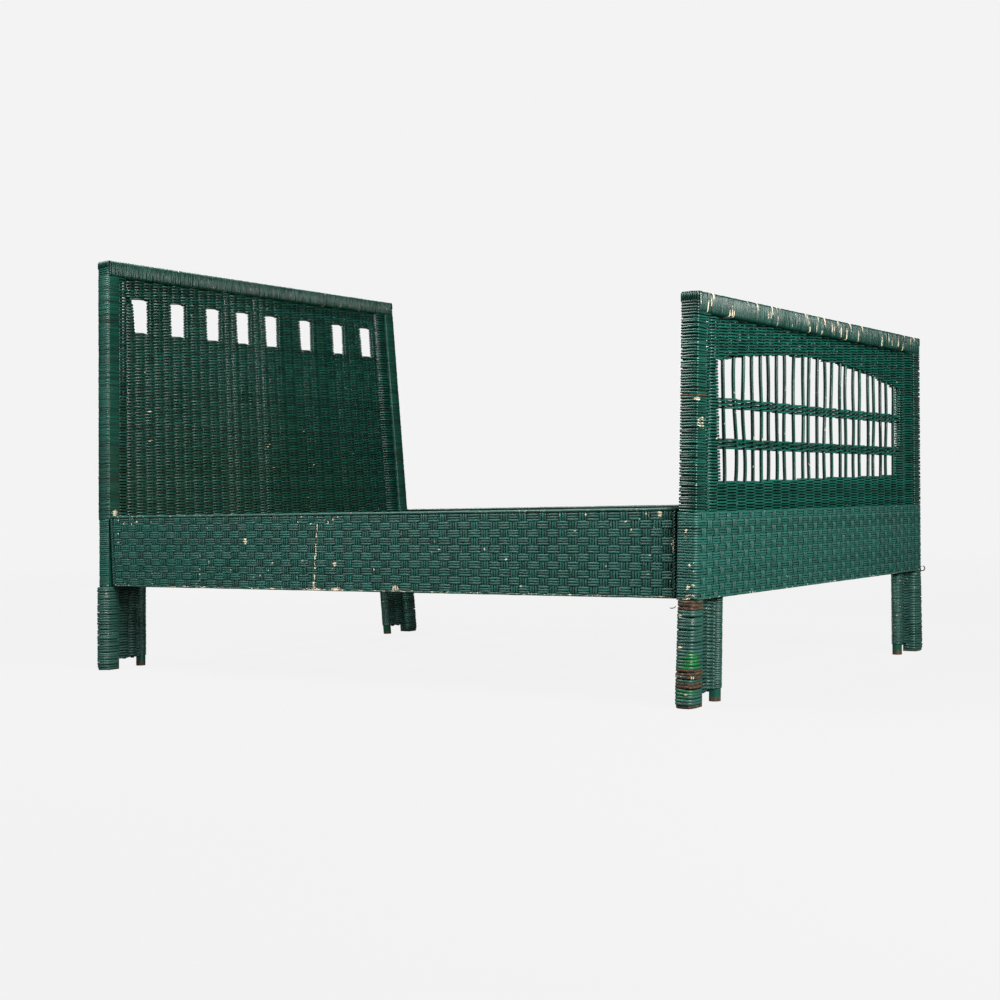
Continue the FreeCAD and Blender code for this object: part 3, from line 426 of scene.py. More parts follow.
winding = {"thick": 4.4, "slack": 0.2, "tilt": 0.7, "bow": 1.3, "drift": 0.25}
postTurn = {"pitch": 6.5, "arc": 4.2, "flare": 0, "wear": 0.1, "oldWear": 0.2}
legTurn = {"pitch": 7.4, "arc": 11, "swell": 10, "full": 1.06, "wear": 0.12}
railTurn = {"pitch": 5.4, "arc": 4.2, "full": 1.12, "short": 11.5, "drift": 0.35, "slack": 0.3, "lean": 1.1,
            "patches": 30, "rub": 14, "wear": {"head": 0.3, "foot": 0.62}}
railCap = {"pitch": 6.5, "below": 21, "tuck": 9.5, "turn": 7.0, "uprights": 8, "spread": 20.5, "foot": 23,
           "over": 11, "upright": 5.8}


def squareLoop(half, corner):
    # one turn round a square: places, facing directions and how near each is to a corner
    turns = np.radians(np.array([0, 30, 60, 90])[None] + 90 * np.arange(4)[:, None])
    facing = np.stack([np.cos(turns), np.sin(turns)], -1)
    centre = (half - corner) * np.array([(1, 1), (-1, 1), (-1, -1), (1, -1)])
    places = centre[:, None] + corner * facing
    middle = np.array([(0, 1), (-1, 0), (0, -1), (1, 0)])[:, None]
    places = np.concatenate([places, middle * (half + winding["bow"])], 1).reshape(-1, 2)
    facing = np.concatenate([facing, middle], 1).reshape(-1, 2)
    arris = np.tile([0.3, 1, 1, 0.3, 0], 4)
    return places, facing, arris


def postRings(board, side, low, high, lay, bands):
    count = round((high - low) / lay["pitch"])
    step = (high - low) / count
    z = low + step * (np.arange(count) + 0.5) + dice.normal(0, winding["drift"], count)
    half = bed["skin"] - winding["thick"] / 2
    loop, facing, arris = squareLoop(half, lay["arc"])
    grow = 1 + dice.normal(0, winding["slack"] / half, (count, 1))
    if low < step:  # the lowest turns stand on the floor and close in
        z = np.maximum(z, step * 0.56)
        grow[:2] = [[0.9], [0.98]]
    tilt = dice.normal(0, winding["tilt"], (count, 2))
    x = loop[:, 0] * grow
    swell = (lay["swell"] + lay["flare"] * (high - z) / (high - low))[:, None]  # thickest at the floor
    y = side * (edge(board, z, bed["skin"])[:, None] + swell / 2) + loop[:, 1] * grow * (1 + swell / 2 / half)
    lift = (tilt[:, :1] * loop[:, 0] + tilt[:, 1:] * loop[:, 1]) / bed["skin"]
    path = np.stack([x, y, z[:, None] + lift], -1)
    out = np.concatenate([facing, np.zeros((len(facing), 1))], 1)[None]
    wear = arris * lay["wear"] * dice.uniform(0, 1, (count, 1)) ** 1.5 + dice.uniform(0, 0.08, (count, 1))
    stain = np.zeros((count, len(arris)))
    for bottom, top in bands:  # turns stripped bare long ago and stained since
        turns = (z > bottom) & (z < top)
        stain[turns] = np.clip(dice.normal(0.8, 0.4, (turns.sum(), len(arris))), 0, 1)
    return {"path": path, "out": out, "section": roundCane(step * lay["full"], winding["thick"], 8),
            "closed": True, "wear": np.maximum(wear, 0.85 * stain), "stain": stain}


def railRings(board, wear):
    low, high = board["top"] - 2 * bed["skin"], board["top"]
    middle = (low + high) / 2
    overhang = board["swell"] - railTurn["short"]
    reach = edge(board, middle, 0) + overhang
    count, patchCount = round(2 * reach / railTurn["pitch"]), railTurn["patches"]
    share = np.linspace(-1, 1, count) + dice.normal(0, railTurn["drift"] / reach, count)
    loop, facing, arris = squareLoop(bed["skin"] - winding["thick"] / 2, railTurn["arc"])
    grow = 1 + dice.normal(0, railTurn["slack"] / bed["skin"], (count, 1))
    lean = dice.normal(0, railTurn["lean"], (count, 1)) * loop[:, 1] / bed["skin"]
    z = middle + loop[:, 1] * grow
    y = share[:, None] * (edge(board, z, 0) + overhang) + lean
    path = np.stack([np.broadcast_to(loop[:, 0] * grow, z.shape), y, z], -1)
    out = np.stack([facing[:, 0], 0 * facing[:, 0], facing[:, 1]], -1)[None]
    patches = dice.uniform(0.05, 0.4, patchCount)  # some stretches are rubbed more often than others
    patches = np.interp(np.arange(count), np.linspace(0, count, patchCount), patches)[:, None]
    rubbed = (dice.uniform(0, 1, (count, 1)) < patches) * dice.uniform(0.3, 0.95, (count, 1))
    where = dice.uniform(-1, 1.3, (count, 1)) * bed["skin"]
    worn = wear * (0.1 + rubbed * np.exp(-((loop[:, 1] - where) / railTurn["rub"]) ** 2))
    section = roundCane(railTurn["pitch"] * railTurn["full"], winding["thick"])
    return {"path": path, "out": out, "section": section, "closed": True, "wear": worn}


def railEnds(board):
    # over each end of the top rail: turns of the post's winding, with short uprights bent over the top edge
    batches = []
    inset, arc, top, swell = winding["thick"] / 2, railTurn["arc"], board["top"], board["swell"]
    bend = np.radians([0, 30, 60, 90])
    low, high = top - 2 * bed["skin"], top - railCap["below"]
    count = round((high - low) / railCap["pitch"])
    z = low + (high - low) / count * (np.arange(count) + 0.5)
    flat = bed["skin"] - inset - arc
    cornerX, cornerIn = flat + arc * np.cos(bend), inset + arc - arc * np.sin(bend)
    x = np.concatenate([[flat + arc], cornerX, [0], -cornerX[::-1], [-flat - arc]])
    inward = np.concatenate([[railCap["tuck"]], cornerIn, [inset], cornerIn[::-1], [railCap["tuck"]]])
    rise = np.concatenate([[top - railCap["foot"]], top - inset - arc + arc * np.sin(bend), [top - inset]])
    back = np.concatenate([[inset], inset + arc - arc * np.cos(bend), [railCap["over"]]])
    outward, upward = np.concatenate([[1], np.cos(bend), [0]]), np.concatenate([[0], np.sin(bend), [1]])
    for side in sides.values():
        turns = np.broadcast_arrays(x, side * (edge(board, z, 0)[:, None] + swell - inward), z[:, None])
        facing = np.stack([np.sign(x) * (inward > inset + 1), side * (inward < inset + arc - 0.5), 0 * x], -1)
        batches.append({"path": np.stack(turns, -1), "out": facing[None] + 1e-3,
                        "section": roundCane(railCap["turn"], winding["thick"]), "wear": 0.06})
        along = np.linspace(-railCap["spread"], railCap["spread"], railCap["uprights"])
        along = along + dice.normal(0, 0.3, len(along))
        rods = np.broadcast_arrays(along[:, None], side * (edge(board, rise, 0) + swell - back), rise)
        facing = np.stack([0 * rise, side * outward, upward], -1)
        batches.append({"path": np.stack(rods, -1), "out": facing[None],
                        "section": roundCane(railCap["upright"], winding["thick"]), "wear": 0.08})
    return batches


postMarks = [
    ((1022, -725, 655), (10, 12, 14), 0.34, "bare"),  # scratches on the foot post that faces the viewer
    ((1022, -737, 708), (7, 6, 2.5), 0.55, "bare"),   # and under its stripped turn
    ((-946, -712, 467), (14, 14, 12), 0.5, "bare"),   # and at the foot of the head post's winding
]
legMarks = [
    ((1004, -752, 106), (12, 18, 36), 0.9, "old"),    # the brighter coat under the green of that post's leg
    ((980, -760, 66), (36, 26, 50), 0.74, "old"),
    ((984, -764, 24), (44, 26, 26), 0.7, "old"),
]
legMarks += scatter(34, (956, -784, 20), (1010, -744, 224), (1.6, 3.4), (0.4, 0.7))
stripped = {"post": [(715, 722)], "leg": [(225, 247), (70, 88), (48, 58), (0, 6)]}
for boardName, board in boards.items():
    place = leaning(board)
    for sideName, side in sides.items():
        oldest = (boardName, sideName) == ("foot", "near")
        lay = {**postTurn, "swell": board["swell"], "full": board["full"]}
        lay["wear"] = postTurn["oldWear" if oldest else "wear"]
        rings = postRings(board, side, apronHigh, board["top"] - 2 * bed["skin"], lay,
                          stripped["post"] if oldest else ())
        layCane(f"{boardName}_post_winding_{sideName}", [rings], place, [f"{boardName}_post_wrap_{sideName}"],
                rubbedCane if oldest else woundCane, 0.04, postMarks)
        rings = postRings(board, side, 0.5, apronLow, {**legTurn, "flare": board["flare"]},
                          stripped["leg"] if oldest else ())
        layCane(f"{boardName}_leg_winding_{sideName}", [rings], place, [f"{boardName}_leg_wrap_{sideName}"],
                legCane, 0.07, legMarks)
    batches = [railRings(board, railTurn["wear"][boardName])] + railEnds(board)
    layCane(f"{boardName}_top_rail_winding", batches, place, [f"{boardName}_top_rail_wrap"], woundCane, 0.05)
print("winding laid")


# woven panels, webs and the grille

weave = {"thick": 5.2, "headRow": 4.55, "footRow": 3.65, "webRow": 4.0, "full": 1.75, "proud": 1.9}
headStake = {"swing": 7.0, "level": 1079, "pitch": 39.35, "last": 16.72, "low": 277, "shift": 35}
footStake = {"swing": 8.6, "level": 609.2, "pitch": 51.7, "last": 13.43, "low": 277, "shift": 0}
window = {"half": 0.838, "flare": 0.05, "sill": 1026, "lintel": 1132, "ragged": 0.012}  # widths in stakes
opening = {"half": 605, "low": 517, "climb": 21, "spring": 801, "rise": 46, "droop": 5,
           "near": ((535, 800), (590, 609)), "far": ((590, 630), (573, 605))}  # heights, and widths there
acrossBoard = np.array([1.0, 0, 0])
allStakes = np.arange(-18, 19)
besideWindow = [(allStakes - 1) // 4, -((3 - allStakes) // 4)]  # head stakes at a window stand off together
shiftShare = sum(np.maximum(0, 1 - np.abs(w) / 2) for w in besideWindow) / 2
turnReach, turnSwing = np.array([1, 0.88, 0.62]), np.array([0, 0.7, 1.0])  # back round a stake


def stakeY(board, stake, place, z):
    offset = place * stake["pitch"] - stake["shift"] * np.interp(place, allStakes, shiftShare)
    return offset * edge(board, z, 0) / edge(board, stake["level"], 0)


def weaverRun(start, end):
    # stake counts along one weaver and its swing there: over one stake, under the next and round the last
    first, last = math.ceil(start + 0.05), math.floor(end - 0.05)
    places = np.arange(math.ceil(start * 4 + 0.3), math.floor(end * 4 - 0.3) + 1) / 4
    places = places[(places >= first - 1e-6) & (places <= last + 1e-6)]
    swing = np.concatenate([np.cos(np.pi * first) * turnSwing, np.cos(np.pi * places),
                            np.cos(np.pi * last) * turnSwing[::-1]])
    places = np.concatenate([first - (first - start) * turnReach, places,
                             last + (end - last) * turnReach[::-1]])
    return places, swing


def weavers(board, stake, z, phase, run, high):
    places, swing = run
    z = np.asarray(z, float)
    wander = dice.normal(0, 0.25, (len(z), len(places)))
    proud = np.where(np.abs(places) > stake["last"] - 1.3, weave["proud"], 1.0)  # most beside a post
    x = np.asarray(phase)[:, None] * swing * proud * stake["swing"] * (1 + dice.normal(0, 0.06, (len(z), 1)))
    y = stakeY(board, stake, places, z[:, None] + 0 * places)
    path = np.stack([x, y, z[:, None] + wander], -1)
    return {"path": path, "out": acrossBoard, "section": roundCane(high, weave["thick"]), "bothFaces": True,
            "wear": dice.uniform(0, 0.05, (len(z), 1))}


def headWeave():
    board, last, high = boards["head"], headStake["last"], weave["headRow"] * weave["full"]
    z = np.arange(headStake["low"], board["top"] - 2 * bed["skin"], weave["headRow"])
    phase = overUnder(len(z))
    inWindow = (z > window["sill"] + 1) & (z < window["lintel"] - 1)
    batches = [weavers(board, headStake, z[~inWindow], phase[~inWindow], weaverRun(-last, last), high)]
    centre, half = (window["lintel"] + window["sill"]) / 2, (window["lintel"] - window["sill"]) / 2
    middles = np.arange(-14, 15, 4)[:, None]
    flare = dice.normal(window["flare"], 0.03, (len(middles), 2))
    flare[0, 0] += 0.09  # the first one leans
    for level, turn in zip(z[inWindow], phase[inWindow]):  # windows widen a little upwards
        gap = window["half"] + flare * (level - centre) / half + dice.normal(0, window["ragged"], flare.shape)
        stops = [-last, *(middles + gap * (-1, 1)).ravel(), last]
        for start, end in zip(stops[::2], stops[1::2]):
            batches.append(weavers(board, headStake, [level], [turn], weaverRun(start, end), high))
    return batches


def openSpan(z):
    # ends of the arched opening at a height: its sill climbs to the far side, its sides close in lower down
    y = np.arange(-620, 621)
    share = y / opening["half"]
    above = z > opening["low"] + opening["climb"] * (1 + share) / 2
    below = z < opening["spring"] + opening["rise"] * (1 - share ** 2) - opening["droop"] * share
    between = (y > -np.interp(z, *opening["near"])) & (y < np.interp(z, *opening["far"]))
    inside = y[above & below & between]
    return (inside[0], inside[-1]) if len(inside) > 40 else None


def footWeave():
    board, last, high = boards["foot"], footStake["last"], weave["footRow"] * weave["full"]
    z = np.arange(footStake["low"], board["top"] - 2 * bed["skin"], weave["footRow"])
    phase = overUnder(len(z))
    spans = [openSpan(v) for v in z]
    whole = np.array([span is None for span in spans])
    batches = [weavers(board, footStake, z[whole], phase[whole], weaverRun(-last, last), high)]
    for level, turn, span in zip(z, phase, spans):
        if span:
            start, stop = (end / stakeY(board, footStake, 1, level) for end in span)
            for run in (weaverRun(-last, start), weaverRun(stop, last)):
                batches.append(weavers(board, footStake, [level], [turn], run, high))
    return batches


grille = {"thick": 9.8, "eachSide": 13, "low": 270, "high": 915, "wander": 4.0, "held": 60,
          "sideways": (1.9, 1.5, 1.0), "inOut": (1.0, 0.8, 0.5), "spread": 17, "spreadTop": 780,
          "spreadOver": 240}


def grilleRods():
    # uprights of the grille: set by eye, a little crooked, and closing in towards the sill on the near side
    board = boards["foot"]
    counts = np.arange(-grille["eachSide"], grille["eachSide"] + 1)
    top = opening["spring"] + opening["rise"]
    z = np.concatenate([[grille["low"]], np.linspace(opening["low"], top, 22), [grille["high"]]])
    share = np.clip((z - opening["low"]) / (top - opening["low"]), 0, 1)
    waves = np.stack([np.sin(np.pi * share), np.sin(2 * np.pi * share), np.sin(3 * np.pi * share)])
    sideways = dice.normal(0, 1, (len(counts), 3)) * grille["sideways"] @ waves
    free = np.clip((grille["high"] - z) / grille["held"], 0, 1)
    sideways += dice.normal(0, grille["wander"], (len(counts), 1)) * free
    closing = np.clip((grille["spreadTop"] - z) / grille["spreadOver"], 0, 1)
    sideways += grille["spread"] * np.clip(-counts / 11, 0, 1)[:, None] * closing
    inOut = dice.normal(0, 1, (len(counts), 3)) * grille["inOut"] @ waves
    y = stakeY(board, footStake, counts[:, None], z[None]) + sideways
    path = np.stack([inOut, y, np.broadcast_to(z, y.shape)], -1)
    return {"path": path, "out": acrossBoard, "section": roundCane(grille["thick"], grille["thick"], 8),
            "bothFaces": True, "wear": dice.uniform(0, 0.24, (len(counts), len(z)))}


band = {"lower": 597, "upper": 694, "rows": 5, "pitch": 5, "cane": 6.2, "reach": 11.72}


def twinedBand(low):
    z = low + band["pitch"] * (np.arange(band["rows"]) + 0.5)
    run = weaverRun(-band["reach"], band["reach"])
    return weavers(boards["foot"], footStake, z, overUnder(band["rows"]), run, band["cane"])


# the web's rows: how far in from the board's edge they pass, and how far out they swing there
web = {"inset": (36, 58, 70, 82, 92, 98.5, 105, 115, 125, 133, 139),
       "swing": (0, 4.2, 7.2, 8.2, 5.6, 0, -5.6, -8.2, -5.2, 3, 8),
       "low": 32, "thick": 3.6, "full": 1.95, "ribs": (82.0, 115.0), "rib": 11, "ribLow": 26}
slimTurn = {"low": 33.5, "pitch": 4.3, "radius": 14.9, "inset": 149, "thick": 3.4, "full": 1.1}


def webWeave(board, side):
    # from the wound leg over two ribs and in behind the turns of the slim leg
    z = np.arange(web["low"], apronLow, weave["webRow"])[:, None]
    inset = np.array(web["inset"])
    wander = dice.normal(0, 0.3, (len(z), len(inset)))
    x = overUnder(len(z))[:, None] * np.array(web["swing"])
    path = np.stack([x, side * edge(board, z + 0 * inset, inset), z + wander], -1)
    rows = {"path": path, "out": acrossBoard, "bothFaces": True,
            "section": roundCane(weave["webRow"] * web["full"], web["thick"], 8),
            "wear": 0.06 + dice.uniform(0, 0.08, (len(z), 1))}
    heights = np.linspace(web["ribLow"], apronLow, 6)
    rods = np.broadcast_arrays(0.0, side * edge(board, heights, np.array(web["ribs"])[:, None]), heights)
    ribRods = {"path": np.stack(rods, -1), "out": acrossBoard, "bothFaces": True,
               "section": roundCane(web["rib"], web["rib"], 10)}
    z = np.arange(slimTurn["low"], apronLow, slimTurn["pitch"])[:, None]
    angle = np.linspace(0, 2 * np.pi, 16, endpoint=False)
    reach = slimTurn["radius"] + dice.normal(0, 0.2, (len(z), 1))
    tilt = dice.normal(0, 0.5, (len(z), 1)) * np.sin(angle)
    y = side * edge(board, z, slimTurn["inset"]) + reach * np.sin(angle)
    path = np.stack([reach * np.cos(angle), y, z + tilt], -1)
    out = np.stack([np.cos(angle), np.sin(angle), 0 * angle], -1)[None]
    turns = {"path": path, "out": out, "closed": True,
             "section": roundCane(slimTurn["pitch"] * slimTurn["full"], slimTurn["thick"]),
             "wear": 0.06 + dice.uniform(0, 0.1, (len(z), 1))}
    return [rows, ribRods, turns]


headPlace, footPlace = leaning(boards["head"]), leaning(boards["foot"])
headKnocks = scatter(90, (-1000, -690, 470), (-970, 690, 1180), (2, 3.6), (0.4, 0.62))
headKnocks += scatter(80, (-986, -50, 560), (-970, 520, 900), (2, 3.6), (0.4, 0.64))
footKnocks = scatter(90, (1000, -690, 460), (1016, 690, 905), (2, 3.6), (0.4, 0.62))
layCane("head_weave", headWeave(), headPlace, ["head_panel"], rubbedCane, 0.02, headKnocks)
layCane("foot_weave", footWeave(), footPlace, ["foot_panel"], wovenCane, 0.04, footKnocks)
layCane("foot_uprights_bent", [grilleRods()], footPlace, ["foot_uprights"], wovenCane, 0.04)
for bandName in ("lower", "upper"):
    layCane(f"foot_band_{bandName}_twining", [twinedBand(band[bandName])], footPlace,
            [f"foot_band_{bandName}"], wovenCane, 0.1)
for boardName, board in boards.items():
    for sideName, side in sides.items():
        layCane(f"{boardName}_web_weave_{sideName}", webWeave(board, side), leaning(board),
                [f"{boardName}_web_{sideName}"], legCane, 0.06, legMarks)
print("weave laid")


# plaited aprons and side rails: three canes over, three under

plait = {
    "rail": {"column": 30.9, "row": 19.8, "fill": 0.96, "crowd": 0.9},
    "apron": {"column": 32.4, "row": 18.65, "fill": 0.94, "crowd": 1.0},
    "bends": (-11.5, -6, 0, 6, 11.5), "stand": 7.2, "thick": 2.6, "round": 3.6, "over": 3.5, "between": 2.4,
    # the last entry is the painted shade on flat canes where they pass under
    "sunk": 2.5, "sunkBetween": 1.6, "under": 0.4, "underShade": 0.75,
}


def plaitSheet(sheet, lay, start, end, low, high, wear, plainFrom=1e6):
    # flat canes along the face and round ones up it; past plainFrom the flat ones lie plain, side by side
    row = lay["row"]
    columns, rows = round((end - start) / lay["column"]), math.ceil((high - low) / row)
    wide = np.where(np.arange(columns) < 0.7 * columns, 1.0, lay["crowd"])  # the rails' crowd at the foot
    seams = start + (end - start) * np.concatenate([[0], np.cumsum(wide)]) / wide.sum()
    centre = (seams[:-1] + seams[1:]) / 2 + dice.normal(0, 0.9, columns)
    middle = high - row * (np.arange(rows) + 0.5)
    stops = np.concatenate([centre[:, None] + np.array(plait["bends"]), seams[1:, None]], 1)
    s = np.concatenate([[start], stops.ravel()])
    between = np.full(columns, plait["between"])
    flatPaths, flatOut, flatDeep = [], [], []
    for i in range(rows):
        isOver = ((np.arange(columns) + i) % 2 == 1) | (np.abs(centre) > plainFrom)
        level = np.where(isOver, plait["over"], plait["under"])
        crest = level + np.where(isOver, 0.2, -0.1)
        shoulder = level + np.where(isOver, -0.5, 1.0)
        n = np.stack([shoulder, level, crest, level, shoulder, between], -1)
        n = np.concatenate([[plait["between"]], n.ravel()])
        drift = np.interp(s, np.linspace(start, end, 24), dice.normal(0, 0.5, 24))
        for strand in (-1, 0, 1):
            t = middle[i] + strand * row / 3.04
            if t < low + row / 6 - 1:
                continue
            points, out = sheet(s, t + drift + dice.normal(0, 0.3, len(s)), n + dice.normal(0, 0.25, len(s)))
            flatPaths.append(points)
            flatOut.append(out)
            # painted shade on the flat canes where they pass deep under the upright ones
            flatDeep.append(np.clip((2.2 - n) / 1.2, 0, 1) * plait["underShade"])
    flat = {"path": np.array(flatPaths), "out": np.array(flatOut), "deep": np.array(flatDeep),
            "section": roundCane(row / 3 * lay["fill"], plait["thick"], 8),
            "wear": wear * dice.uniform(0.2, 1, (len(flatPaths), 1))}
    t = np.concatenate([(middle[:, None] + np.array([0.5, 0.32, 0, -0.32]) * row).ravel(), [low]])
    t = np.clip(t, low, high)
    between = np.full(rows, plait["sunkBetween"])
    upPaths, upOut = [], []
    for c in np.flatnonzero(np.abs(centre) <= plainFrom):
        level = np.where((c + np.arange(rows)) % 2 == 0, plait["sunk"], plait["under"])
        n = np.stack([between, level, level + 0.2, level], -1)
        n = np.concatenate([n.ravel(), [plait["sunkBetween"]]])
        for strand in (-1, 0, 1):
            where = centre[c] + strand * plait["stand"] + dice.normal(0, 0.25, len(t))
            points, out = sheet(where, t, n)
            upPaths.append(points)
            upOut.append(out)
    upright = {"path": np.array(upPaths), "out": np.array(upOut),
               "section": roundCane(plait["stand"] * 0.84, plait["round"], 8),
               "wear": wear * dice.uniform(0.2, 1, (len(upPaths), 1))}
    return [flat, upright]


rail = {"length": 1905, "face": 724, "gap": {-1: 6, 1: 18}}  # the plait stops short of the posts
apron = {"turnIn": 4.0, "drawnIn": 2.6, "return": 40, "lip": (9.4, 15.0, 20.4), "lipShort": 44}


def railEnd(board, z):
    rake = math.radians(board["rake"])
    room = (bed["post"] / 2 + rail["gap"][board["out"]]) / math.cos(rake)
    return board["x"] - board["out"] * room + board["out"] * z * math.tan(rake)


def railSheet(side):
    def sheet(s, t, n):
        s, t, n = np.broadcast_arrays(s, t, n)
        start, end = railEnd(boards["head"], t), railEnd(boards["foot"], t)
        points = np.stack([start + (end - start) * s / rail["length"], side * (rail["face"] + n), t], -1)
        return points, np.broadcast_to([0.0, side, 0.0], points.shape)
    return sheet


def apronHalf(board, z):
    return edge(board, z, bed["wrap"]) + board["swell"]


def apronSheet(board):
    turnIn, out = apron["turnIn"], board["out"]
    core = bed["post"] / 2

    def sheet(s, t, n):
        s, t, n = np.broadcast_arrays(s, t, n)
        half = apronHalf(board, t)
        s = s * half / apronHalf(board, (apronLow + apronHigh) / 2)
        sign, a = np.sign(s), np.abs(s)
        bend = np.clip((a - half + turnIn) / (2 * turnIn), 0, 1) * np.pi / 2
        n = n - apron["drawnIn"] * np.sin(2 * bend)  # the canes are drawn in at the corner
        down = np.maximum(a - half - turnIn, 0)
        x = out * (core - turnIn - down + (turnIn + n) * np.cos(bend))
        y = sign * (np.minimum(a, half - turnIn) + (turnIn + n) * np.sin(bend))
        facing = np.stack([out * np.cos(bend), sign * np.sin(bend), 0 * bend], -1)
        return np.stack([x, y, t], -1), facing
    return sheet


def lengthwise(sheet, start, end, t, n, section, wear):
    s = np.linspace(start, end, 60)
    points, out = sheet(s, t + dice.normal(0, 0.2, 60), n)
    return {"path": points[None], "out": out[None], "section": section,
            "wear": wear + dice.uniform(0, 0.12, (1, 60))}


ropeLay = {"cane": 5.2, "radius": 2.1, "twist": 16, "step": 2.2, "offEnd": 4.5, "offFace": 3.5}


def rope(board, side, low, high):
    # two canes twisted together, up the end of a rail
    z = np.linspace(low, high, round((high - low) / ropeLay["step"]))
    turn = 2 * np.pi * (z - low) / ropeLay["twist"] + np.array([[0], [np.pi]])
    x = railEnd(board, z) - board["out"] * ropeLay["offEnd"] + ropeLay["radius"] * np.cos(turn)
    y = side * (rail["face"] + ropeLay["offFace"]) + ropeLay["radius"] * np.sin(turn)
    return {"path": np.stack(np.broadcast_arrays(x, y, z), -1), "out": np.array([0.0, side, 0.0]),
            "section": roundCane(ropeLay["cane"], ropeLay["cane"]), "bothFaces": True, "wear": 0.1}


for boardName, board in boards.items():
    sheet = apronSheet(board)
    half = apronHalf(board, (apronLow + apronHigh) / 2)
    reach = half + apron["turnIn"] + apron["return"]
    batches = plaitSheet(sheet, plait["apron"], -reach, reach, apronLow + 3, apronHigh - 1, 0.08, half - 6)
    batches.append(lengthwise(sheet, -reach, reach, apronLow + 3.2, 2.2, roundCane(6.5, 5), 0.12))
    batches.append(lengthwise(sheet, -reach, reach, apronHigh - 2.4, 2.2, roundCane(5.5, 5), 0.06))
    y = np.linspace(-1, 1, 50) * edge(board, apronHigh, apron["lipShort"])
    for depth in apron["lip"]:  # the top edge, over the board
        path = np.stack(np.broadcast_arrays(board["out"] * depth, y, apronHigh - 2.4), -1)[None]
        batches.append({"path": path, "out": np.array([0, 0, 1.0]), "section": roundCane(5.9, 4.6),
                        "wear": 0.1})
    face = 985 * board["out"]
    knocks = scatter(30, (face - 5, -760, apronLow), (face + 45, 760, apronHigh), (2, 4), (0.3, 0.55))
    # and on the near foot corner
    knocks += scatter(26, (985, -766, apronLow), (1016, -745, apronHigh), (2.2, 5), (0.4, 0.66))
    layCane(f"{boardName}_apron_plait", batches, leaning(board), [f"{boardName}_apron"], plaitCane, 0.05,
            knocks)

railMarks = [
    ((127, -728, 256), (9, 12, 8), 0.62, "bare"),      # worn lower edge on the viewer's side
    ((-75, -728, 252), (16, 12, 5), 0.6, "bare"),
    ((-150, -728, 250), (14, 12, 5), 0.6, "bare"),
    ((947, -728, 373), (3, 10, 16), 0.5, "bare"),      # and chips on its face
    ((915, -728, 446), (3, 10, 9), 0.6, "bare"),
    ((-405, -728, 384), (5, 10, 7), 0.6, "bare"),
    ((-81, -728, 322), (6, 10, 5), 0.6, "bare"),
]
# a joint in the plait, where every cane is rubbed
railMarks += [((-154 + 3 * i, -728, 262 + 32 * i), (2.0, 10, 14), 0.6, "bare") for i in range(6)]
knockedMost = [  # corners along the rail and up it, and how many knocks lie between them
    ((-920, 432), (-740, 450), 12),
    ((-600, 262), (-430, 350), 16),
    ((-200, 425), (-60, 450), 14),
    ((780, 270), (940, 450), 9),
]
bead = {"high": 455.9, "backHigh": 455.4, "backs": (7.4, 14.6, 20.6)}
for sideName, side in sides.items():
    sheet = railSheet(side)
    length = rail["length"]
    batches = plaitSheet(sheet, plait["rail"], 9, length - 9, railLow + 5, railHigh - 9, 0.08)
    batches.append(lengthwise(sheet, 0, length, railLow + 2.6, 2.2, roundCane(6.2, 4.6), 0.16))
    for back in (4, 10, 16, 22):  # the return under the board
        points, _ = sheet(np.linspace(0, length, 40), railLow + 2.0, -back)
        batches.append({"path": points[None], "out": np.array([0, 0, -1.0]), "section": roundCane(6.3, 4.0),
                        "wear": 0.1})
    batches += [rope(board, side, railLow + 3, railHigh - 9) for board in boards.values()]
    face = side * (rail["face"] + 4)
    knocks = railMarks + scatter(60, (-950, face - 2, railLow), (950, face + 2, railHigh), (1.6, 3.0),
                                 (0.35, 0.6))
    for low, high, count in knockedMost:
        knocks += scatter(count, (low[0], face - 2, low[1]), (high[0], face + 2, high[1]), (1.6, 3.0),
                          (0.4, 0.62))
    layCane(f"rail_plait_{sideName}", batches, standing, [f"rail_cladding_{sideName}"], plaitCane, 0.05,
            knocks)
    roll = [lengthwise(sheet, 0, length, bead["high"], 0.6, roundCane(8.4, 8.2, 10), 0.08)]
    for back in bead["backs"]:
        points, _ = sheet(np.linspace(0, length, 60), bead["backHigh"], -back)
        roll.append({"path": points[None], "out": np.array([0, 0, 1.0]), "section": roundCane(7.2, 6.6),
                     "wear": 0.06})
    rubs = scatter(18, (680, face - 5, 450), (950, face, 463), (1.5, 3.2), (0.4, 0.62))
    layCane(f"rail_bead_roll_{sideName}", roll, standing, [f"rail_bead_{sideName}"], plaitCane, 0.06, rubs)
print("plait laid")

# cane ends that have sprung loose: start, where they point and how far they curl back, in mm
looseEnds = [
    {"from": (968, -759, 233), "reach": (-10, -9, -3), "curl": -2},  # the near foot leg
    {"from": (-945, -708, 462), "reach": (22, -3, -16), "curl": 6},  # the near head post, over the rail
]
t = np.linspace(0, 1, 9)[:, None]
sprung = np.stack([np.array(e["from"]) + np.array(e["reach"]) * t
                   + np.array([0, 0, e["curl"]]) * np.sin(np.pi * t) for e in looseEnds])
turn = np.radians(np.linspace(110, 430, 15))[:, None]  # one sprung into a loop, at the far foot corner
loop = np.array([1014, 762, 252]) + 7.5 * (np.cos(turn) * [0.82, 0.57, 0] + np.sin(turn) * [0, 0, 1])
bareOld = {"wear": 0.9, "stain": 1.0}
layCane("loose_cane_ends",
        [{"path": sprung, "out": np.array([0.3, -1.0, 0.2]), "section": roundCane(2.4, 1.8), **bareOld},
         {"path": loop[None], "out": np.array([0.57, -0.82, 0]), "section": roundCane(3.4, 2.8), **bareOld}],
        standing, [], woundCane)


# the CAD nodes that stay: timber, stakes inside the weave and steel

def dress(node, material):
    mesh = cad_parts[node].data
    mesh.materials.clear()
    mesh.materials.append(material)


